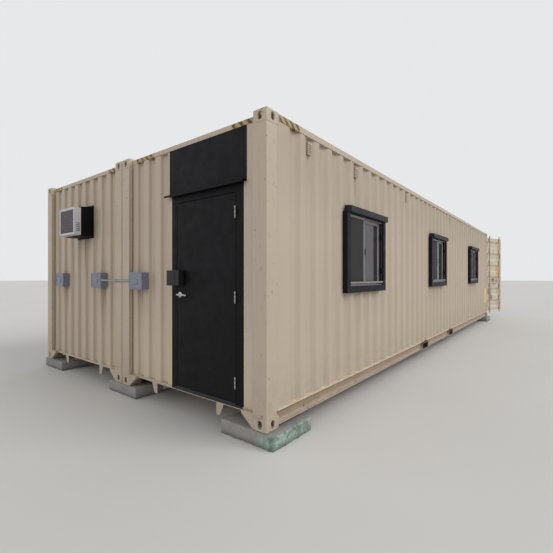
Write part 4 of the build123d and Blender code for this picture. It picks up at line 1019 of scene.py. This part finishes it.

# Louvred covers on the small vents, with dark plates behind the louvres as painted shade in the slots
LOUVRE = [(0.0, 0.027, 0.008), (0.0055, 0.02538, -0.0025), (0.0048, 0.02538, -0.0040), (-0.0005, 0.027, 0.0052)]
louvre_bm, slot_shade_bm = bmesh.new(), bmesh.new()
for face, side in ((RIGHT, 1), (LEFT, -1)):
    x = face - side * (SHEET_INSET + RIB_DEPTH - 0.030)
    for y in VENT_YS:
        for z in (VENT_TOP - 0.024 - k * 0.0205 for k in range(5)):
            add_skin(louvre_bm, [[(x + side * d, y + end * s, z + t) for d, s, t in LOUVRE] for end in (-1, 1)])
            # Dark plate behind each louvre: painted shade in the slot.
            low, high = (x + side * 0.0006, y - 0.0255, z - 0.007), (x - side * 0.001, y + 0.0255, z + 0.004)
            add_box(slot_shade_bm, low, high, bevel=0)
        for z in (VENT_TOP - 0.010, VENT_LOW + 0.010):
            add_screw(louvre_bm, (x, y, z), (side, 0, 0), 0.004)
piece("vent_louvres", louvre_bm, "vent_paint")
piece("vent_slot_shade", slot_shade_bm, "trim_paint")

# Air conditioner: framed grille over the coil, side louvres with dark plates behind them as painted shade, drip tray
# and sleeve flange
(X0, YF, Z0), (X1, _, Z1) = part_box("cooler_grille")
GRILLE_RIM = [(0.0, 0.008), (0.0, 0.0028), (0.0028, 0.0), (0.026, 0.0), (0.032, 0.0045), (0.032, 0.008)]
bm = bmesh.new()
add_frame(bm, X0 + 0.0005, X1 - 0.0005, Z0 + 0.0005, Z1 - 0.0005, GRILLE_RIM, on_front(YF))
piece("cooler_front_frame", bm, "cooler_cream", replaced=["cooler_grille"])
bm = bmesh.new()
for x in spread(X0 + 0.034, X1 - 0.034, 40):
    add_box(bm, (x - 0.0009, YF + 0.0030, Z0 + 0.030), (x + 0.0009, YF + 0.0048, Z1 - 0.030), bevel=0)
for z in spread(Z0 + 0.034, Z1 - 0.034, 9):
    add_box(bm, (X0 + 0.030, YF + 0.0016, z - 0.0014), (X1 - 0.030, YF + 0.0034, z + 0.0014), bevel=0)
piece("cooler_front_wires", bm, "cooler_grey", replaced=["cooler_grille"])
bm = bmesh.new()
add_box(bm, (X0 + 0.024, YF + 0.0064, Z0 + 0.024), (X1 - 0.024, YF + 0.0079, Z1 - 0.024), bevel=0)
piece("cooler_coil_face", bm, "coil", replaced=["cooler_grille"])
CASE_LOUVRE = [(0.0, 0.013), (0.0045, 0.004), (0.0045, 0.0025), (0.0, 0.006)]
y0, y1 = YF + 0.024, YF + 0.084
louvre_bm, slot_shade_bm = bmesh.new(), bmesh.new()
for x, side in ((X1, 1), (X0, -1)):
    for z in (Z0 + 0.060 + k * 0.026 for k in range(5)):
        add_skin(louvre_bm, [[(x + side * (d - 0.0002), y, z + t) for d, t in CASE_LOUVRE] for y in (y0, y1)])
        # Dark plate behind each side louvre: painted shade in the slot.
        low, high = (x - side * 0.001, y0 + 0.002, z - 0.007), (x + side * 0.0006, y1 - 0.002, z + 0.006)
        add_box(slot_shade_bm, low, high, bevel=0)
    for z in (Z0 + 0.018, Z1 - 0.018):
        add_screw(louvre_bm, (x - side * 0.0002, YF + 0.018, z), (side, 0, 0), 0.0035)
piece("cooler_side_louvres", louvre_bm, "cooler_cream")
piece("cooler_slot_shade", slot_shade_bm, "trim_paint")
bm = bmesh.new()
low, high = (X0 + 0.004, YF + 0.010, Z0 - 0.0035), (X1 - 0.004, YF + 0.088, Z0 + 0.001)
add_box(bm, low, high, bevel=0.001, segments=1)
piece("cooler_drip_tray", bm, "cooler_cream")
bm = bmesh.new()
flange = [(0.0, 0.006), (0.0, 0.0), (0.0225, 0.0), (0.0225, 0.006)]
s0, s1, t0, t1 = SLEEVE
add_frame(bm, s0 - 0.022, s1 + 0.022, t0 - 0.022, t1 + 0.022, flange, on_front(FRAME_Y + 0.0005))
for x, z in product((s0 - 0.011, s1 + 0.011), spread(t0 + 0.02, t1 - 0.02, 4)):
    add_screw(bm, (x, FRAME_Y + 0.0006, z), TO_FRONT, 0.0045)
piece("sleeve_flange", bm, "trim_paint")

# Grey boxes: cover rims, screws, hinges and a catch; couplings and a clip on the conduit
COVER_RIM = [(0.0, 0.0004), (0.0, -0.0032), (0.002, -0.0045), (0.009, -0.0045), (0.011, -0.0032), (0.011, 0.0004)]
box_low, box_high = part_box("wall_boxes")
face, t0, t1 = box_low[1], box_low[2], box_high[2]
t_mid = (t0 + t1) / 2
rim_bm, screw_bm = bmesh.new(), bmesh.new()
for x in (RIGHT - place - 0.142 for place in (4.160, 2.935, 1.920)):
    s0, s1 = x - 0.146, x + 0.146
    add_frame(rim_bm, s0 + 0.012, s1 - 0.012, t0 + 0.012, t1 - 0.012, COVER_RIM, on_front(face))
    add_box(rim_bm, (x - 0.050, face - 0.0065, t0 + 0.060), (x + 0.050, face + 0.0004, t0 + 0.124), bevel=0.003)
    for sx, z in product((s0 + 0.030, s1 - 0.030), (t0 + 0.030, t1 - 0.030)):
        add_screw(screw_bm, (sx, face + 0.0002, z), TO_FRONT)
    for z in (t0 + 0.060, t1 - 0.060):
        hinge = Vector((s0 - 0.0032, face + 0.004, z))
        add_rod(screw_bm, hinge - UP * 0.014, hinge + UP * 0.014, 0.0042, 14)
    low, high = (s1 - 0.002, face + 0.001, t_mid - 0.016), (s1 + 0.0045, face + 0.014, t_mid + 0.016)
    add_box(rim_bm, low, high, bevel=0.0012, segments=1)
piece("box_cover_rims", rim_bm, "enamel")
piece("box_screws_hinges", screw_bm, "galvanised", sharp=40)
tube_low, tube_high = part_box("conduit")
tube_mid, cy, cz = ((a + b) / 2 for a, b in zip(tube_low, tube_high))
coupling = [
    (0, 0.0200), (0.004, 0.0215), (0.010, 0.0215), (0.012, 0.0180), (0.030, 0.0180), (0.032, 0.0165), (0.032, 0.0132)
]
clip = [(0, 0.0132), (0.0, 0.0152), (0.016, 0.0152), (0.016, 0.0132)]
bm = bmesh.new()
for x, way in ((tube_low[0], 1), (tube_high[0], -1)):
    add_lathe(bm, (x, cy, cz), (way, 0, 0), coupling, 24)
add_lathe(bm, (tube_mid - 0.008, cy, cz), TO_RIGHT, clip, 24)
low, high = (tube_mid - 0.008, cy, cz - 0.006), (tube_mid + 0.008, FRAME_Y + 0.008, cz + 0.006)
add_box(bm, low, high, bevel=0.001, segments=1)
piece("conduit_couplings", bm, "galvanised", sharp=40)

# Cargo doors: round bars, handles, straps over the bars, bolts and pins
LEAF_Z = FLOOR + 0.012
LEAF_H = RAIL_TOP - 0.099 - 0.012 - LEAF_Z
PIN_INSET, PIN_REAR = 0.012, REAR - 0.008
BAR_ALONG, BAR_OUT, BAR_RADIUS = (0.290, 1.010), -0.039, 0.017
HANDLE_UP, HANDLE_REACH = (0.98, 1.115), 0.470
LEAVES = [
    (body, Vector((x, PIN_REAR, LEAF_Z)), u, n)
    for body, x, u, n in (
        ("cargo_door", RIGHT - PIN_INSET, Vector((-cos(SWING), sin(SWING), 0)), Vector((sin(SWING), cos(SWING), 0))),
        ("cabin", RIGHT - 2 * HALF + PIN_INSET, TO_RIGHT, TO_REAR),
        ("cabin", LEFT + 2 * HALF - PIN_INSET, TO_LEFT, TO_REAR),
        ("cabin", LEFT + PIN_INSET, TO_RIGHT, TO_REAR),
    )
]
STRAP = [
    (0.042, -0.0168), (0.042, -0.0118), (0.0225, -0.0118), *half_round(0.0222), (-0.0225, -0.0118),
    (-0.042, -0.0118), (-0.042, -0.0168), (-0.0176, -0.0168), *reversed(half_round(0.0176)), (0.0176, -0.0168),
]
PIN_CAP = [(0, 0.0110), (0.003, 0.0110), (0.0045, 0.0095), (0.0048, 0.0)]
sets = {body: [bmesh.new() for _ in range(3)] for body in ("cargo_door", "cabin")}


def collar(length, radius, side, edge):
    """Profile of a ring round a lock bar."""
    inner = BAR_RADIUS + 0.0002
    return [(0, inner), *barrel(length, radius, side, edge), (length, inner)]


def turned(u_axis, n_axis, origin):
    """Matrix from a leaf's own axes (along, up, out) to the frame."""
    m = Matrix((u_axis, UP, n_axis)).transposed().to_4x4()
    m.translation = origin
    return m


for body, pin, u, n in LEAVES:
    rods, straps, bolts = sets[body]
    at = lambda a, b, c: pin + u * a + UP * b + n * c
    move = turned(u, n, pin)
    for along, level, way in zip(BAR_ALONG, HANDLE_UP, (1, -1)):
        add_rod(rods, at(along, -0.070, BAR_OUT), at(along, LEAF_H + 0.070, BAR_OUT), BAR_RADIUS, 28, 0.1)
        for foot, up in ((-0.070, 1), (LEAF_H + 0.070, -1)):
            low, high = (along - 0.020, foot, -0.0555), (along + 0.020, foot + up * 0.045, -0.0225)
            add_box(rods, low, high, bevel=0.004, turn=move)
            low, high = (along + 0.010, foot + up * 0.012, -0.0500), (along + 0.024, foot + up * 0.033, -0.0280)
            add_box(rods, low, high, bevel=0.003, turn=move)
        for foot in (LEAF_H * 0.25, LEAF_H * 0.78):
            add_lathe(rods, at(along, foot, BAR_OUT), UP, collar(0.045, 0.0212, 0.0200, 0.006), 28)
        add_lathe(rods, at(along, level - 0.030, BAR_OUT), UP, collar(0.060, 0.0245, 0.0225, 0.004), 28)
        low, high = (along + way * 0.006, level - 0.021, -0.0280), (along + way * 0.070, level + 0.021, -0.0185)
        add_box(rods, low, high, bevel=0.003, turn=move)
        tip = along + way * HANDLE_REACH
        low, high = (along + way * 0.045, level - 0.017, -0.0200), (tip, level + 0.017, -0.0110)
        add_box(rods, low, high, bevel=0.0035, turn=move, segments=3)
        add_lathe(rods, at(tip - way * 0.010, level, -0.0215), n, barrel(0.012, 0.020, 0.019, 0.001), 24)
        keep = along + way * 0.400
        for half, low, high, out_low, out_high, bevel in (
            (0.030, -0.050, 0.045, -0.0970, -0.0570, 0.003),
            (0.022, -0.040, -0.030, -0.0580, -0.0075, 0.003),
            (0.022, -0.040, -0.004, -0.0106, -0.0075, 0.001),
        ):
            low, high = (keep - half, level + low, out_low), (keep + half, level + high, out_high)
            add_box(straps, low, high, bevel=bevel, turn=move)
        for v in spread(0.045, LEAF_H - 0.045, 4):
            depth = -0.038 if u.cross(n).z < 0 else 0.038
            add_prism(straps, STRAP, at(along, v - 0.019, BAR_OUT + 0.0001), u, n, depth)
            for side in (-1, 1):
                add_screw(bolts, at(along + side * 0.033, v, -0.0508), n, 0.006, hex_head=True)
    for v in spread(0.180, LEAF_H - 0.180, 4):
        for along in (0.089, 0.129):
            add_screw(bolts, at(along, v, -0.0500), n, 0.0085, hex_head=True)
        for way in (-1, 1):
            add_lathe(sets["cabin"][2], pin + UP * (v + way * 0.0594), (0, 0, way), PIN_CAP)

# Plates on the frame for the ends of the bars, with cheeks where a leaf is shut
frame_straps = sets["cabin"][1]
for body, pin, u, n in LEAVES[1:] + LEAVES[:1]:
    shut = body == "cabin"
    move = turned(u if shut else TO_LEFT, TO_REAR, pin)
    for along in BAR_ALONG:
        for foot in (-0.072, LEAF_H + 0.022):
            low, high = (along - 0.040, foot, -0.0645), (along + 0.040, foot + 0.050, -0.0585)
            add_box(frame_straps, low, high, bevel=0.0015, segments=1, turn=move)
            for x in (along - 0.034, along + 0.034) if shut else ():
                low, high = (x - 0.005, foot + 0.002, -0.0600), (x + 0.005, foot + 0.048, -0.0200)
                add_box(frame_straps, low, high, bevel=0.002, segments=1, turn=move)
open_rods, open_straps, open_bolts = sets["cargo_door"]
shut_rods, shut_straps, shut_bolts = sets["cabin"]
piece("open_leaf_bars", open_rods, "bar_paint", body="cargo_door", sharp=40, replaced=["cargo_leaf_rods"])
piece("shut_leaf_bars", shut_rods, "bar_paint", sharp=40, replaced=["shut_door_rods"])
piece("open_leaf_bar_straps", open_straps, "worn_paint", body="cargo_door", sharp=40)
piece("shut_leaf_bar_straps", shut_straps, "worn_paint", sharp=40)
piece("open_leaf_bolts", open_bolts, "worn_paint", body="cargo_door", sharp=40)
piece("cargo_hinge_pins_bolts", shut_bolts, "worn_paint", sharp=40)

# Nodes that stay: better materials and softened edges, by material and width of the edge
NODE_LOOKS = {
    ("frame_paint", 0.0025): "front_posts rear_beams",
    ("frame_paint", 0.003): "rear_posts",
    ("top_rail_paint", 0.004): "top_side_rails",
    ("rail_paint", 0.0025): "bottom_side_rails",
    ("pocket_paint", 0.0025): "fork_pockets",
    ("header_paint", 0.0025): "front_headers",
    ("sill_front", 0.002): "front_sills",
    ("wall_front", 0): "front_wall_strip",
    ("vent_paint", 0.003): "side_vents",
    ("worn_paint", 0): "cross_members tunnel_pans",
    ("worn_paint", 0.002): "cargo_leaf_brackets cargo_leaf_straps shut_door_brackets shut_door_straps hinge_lugs",
    ("open_leaf_paint", 0): "cargo_leaf",
    ("leaf_paint", 0): "shut_cargo_doors",
    ("rubber", 0.002): "cargo_leaf_gasket shut_door_gaskets",
    ("plywood", 0): "floor_boards",
    ("door_paint", 0.002): "entrance_leaf",
    ("door_paint", 0.0015): "transom_panel",
    ("trim_paint", 0.0025): "entrance_frame",
    ("trim_paint", 0.0006): "drip_cap",
    ("trim_paint", 0.003): "cooler_sleeve",
    ("aluminium", 0.001): "door_threshold",
    ("lock_paint", 0.001): "lock_box",
    ("window_paint", 0.003): "window_surrounds",
    ("hood_paint", 0.002): "window_hoods",
    ("glass", 0): "window_glass",
    ("sill_paint", 0.002): "window_sills",
    ("cooler_cream", 0.004): "cooler_case",
    ("enamel", 0.003): "wall_boxes",
    ("galvanised", 0): "conduit",
}
for (look, width), names in NODE_LOOKS.items():
    for obj in (nodes[name] for name in names.split()):
        obj.data.materials.clear()
        obj.data.materials.append(MATS[look])
        if width:
            obj.modifiers.new("join", "WELD").merge_threshold = 0.00005
            flat = obj.modifiers.new("flat", "DECIMATE")
            flat.decimate_type = "DISSOLVE"
            flat.angle_limit = radians(1)
            soft_edges(obj, width, 40).harden_normals = True

# Floor and lights
bm = bmesh.new()
bmesh.ops.create_grid(bm, x_segments=1, y_segments=1, size=150)
ground = linked("studio_floor", mesh_of("studio_floor", bm))
p = Paint("studio_floor")
color = p.mix(p.noise(0.4, 4), rgb(206, 206, 204), rgb(214, 213, 211))
ground.data.materials.append(p.finish(color, 0.75, [(p.noise(90, 3), 0.1, 0.001)]))

world = bpy.data.worlds.new("studio")
bpy.context.scene.world = world
world.use_nodes = True
tree = world.node_tree
light = tree.nodes["Background"]
seen = tree.nodes.new("ShaderNodeBackground")
for background, color, strength in ((light, (0.90, 0.90, 0.91, 1), 0.60), (seen, (0.80, 0.81, 0.82, 1), 1.0)):
    background.inputs["Color"].default_value = color
    background.inputs["Strength"].default_value = strength
rays = tree.nodes.new("ShaderNodeLightPath").outputs
direct = rays["Is Camera Ray"]
for ray in ("Is Glossy Ray", "Is Transmission Ray"):
    either = tree.nodes.new("ShaderNodeMath")
    either.operation = "MAXIMUM"
    tree.links.new(direct, either.inputs[0])
    tree.links.new(rays[ray], either.inputs[1])
    direct = either.outputs[0]
switch = tree.nodes.new("ShaderNodeMixShader")
for source, socket in zip((direct, light.outputs[0], seen.outputs[0]), switch.inputs):
    tree.links.new(source, socket)
tree.links.new(switch.outputs[0], tree.nodes["World Output"].inputs["Surface"])

for name, direction, strength, angle in (
    ("key", (-0.80, -0.32, -0.60), 1.46, 40),
    ("fill", (-0.05, 0.9, -0.30), 0.62, 60),
):
    sun = bpy.data.lights.new(name, "SUN")
    sun.energy = strength
    sun.angle = radians(angle)
    sun.color = (1.0, 0.98, 0.95)
    linked(name, sun).rotation_euler = aimed(direction)
bpy.context.scene.view_settings.view_transform = "Standard"


def corners(bounds):
    return [[float(v) for v in corner] for corner in bounds]
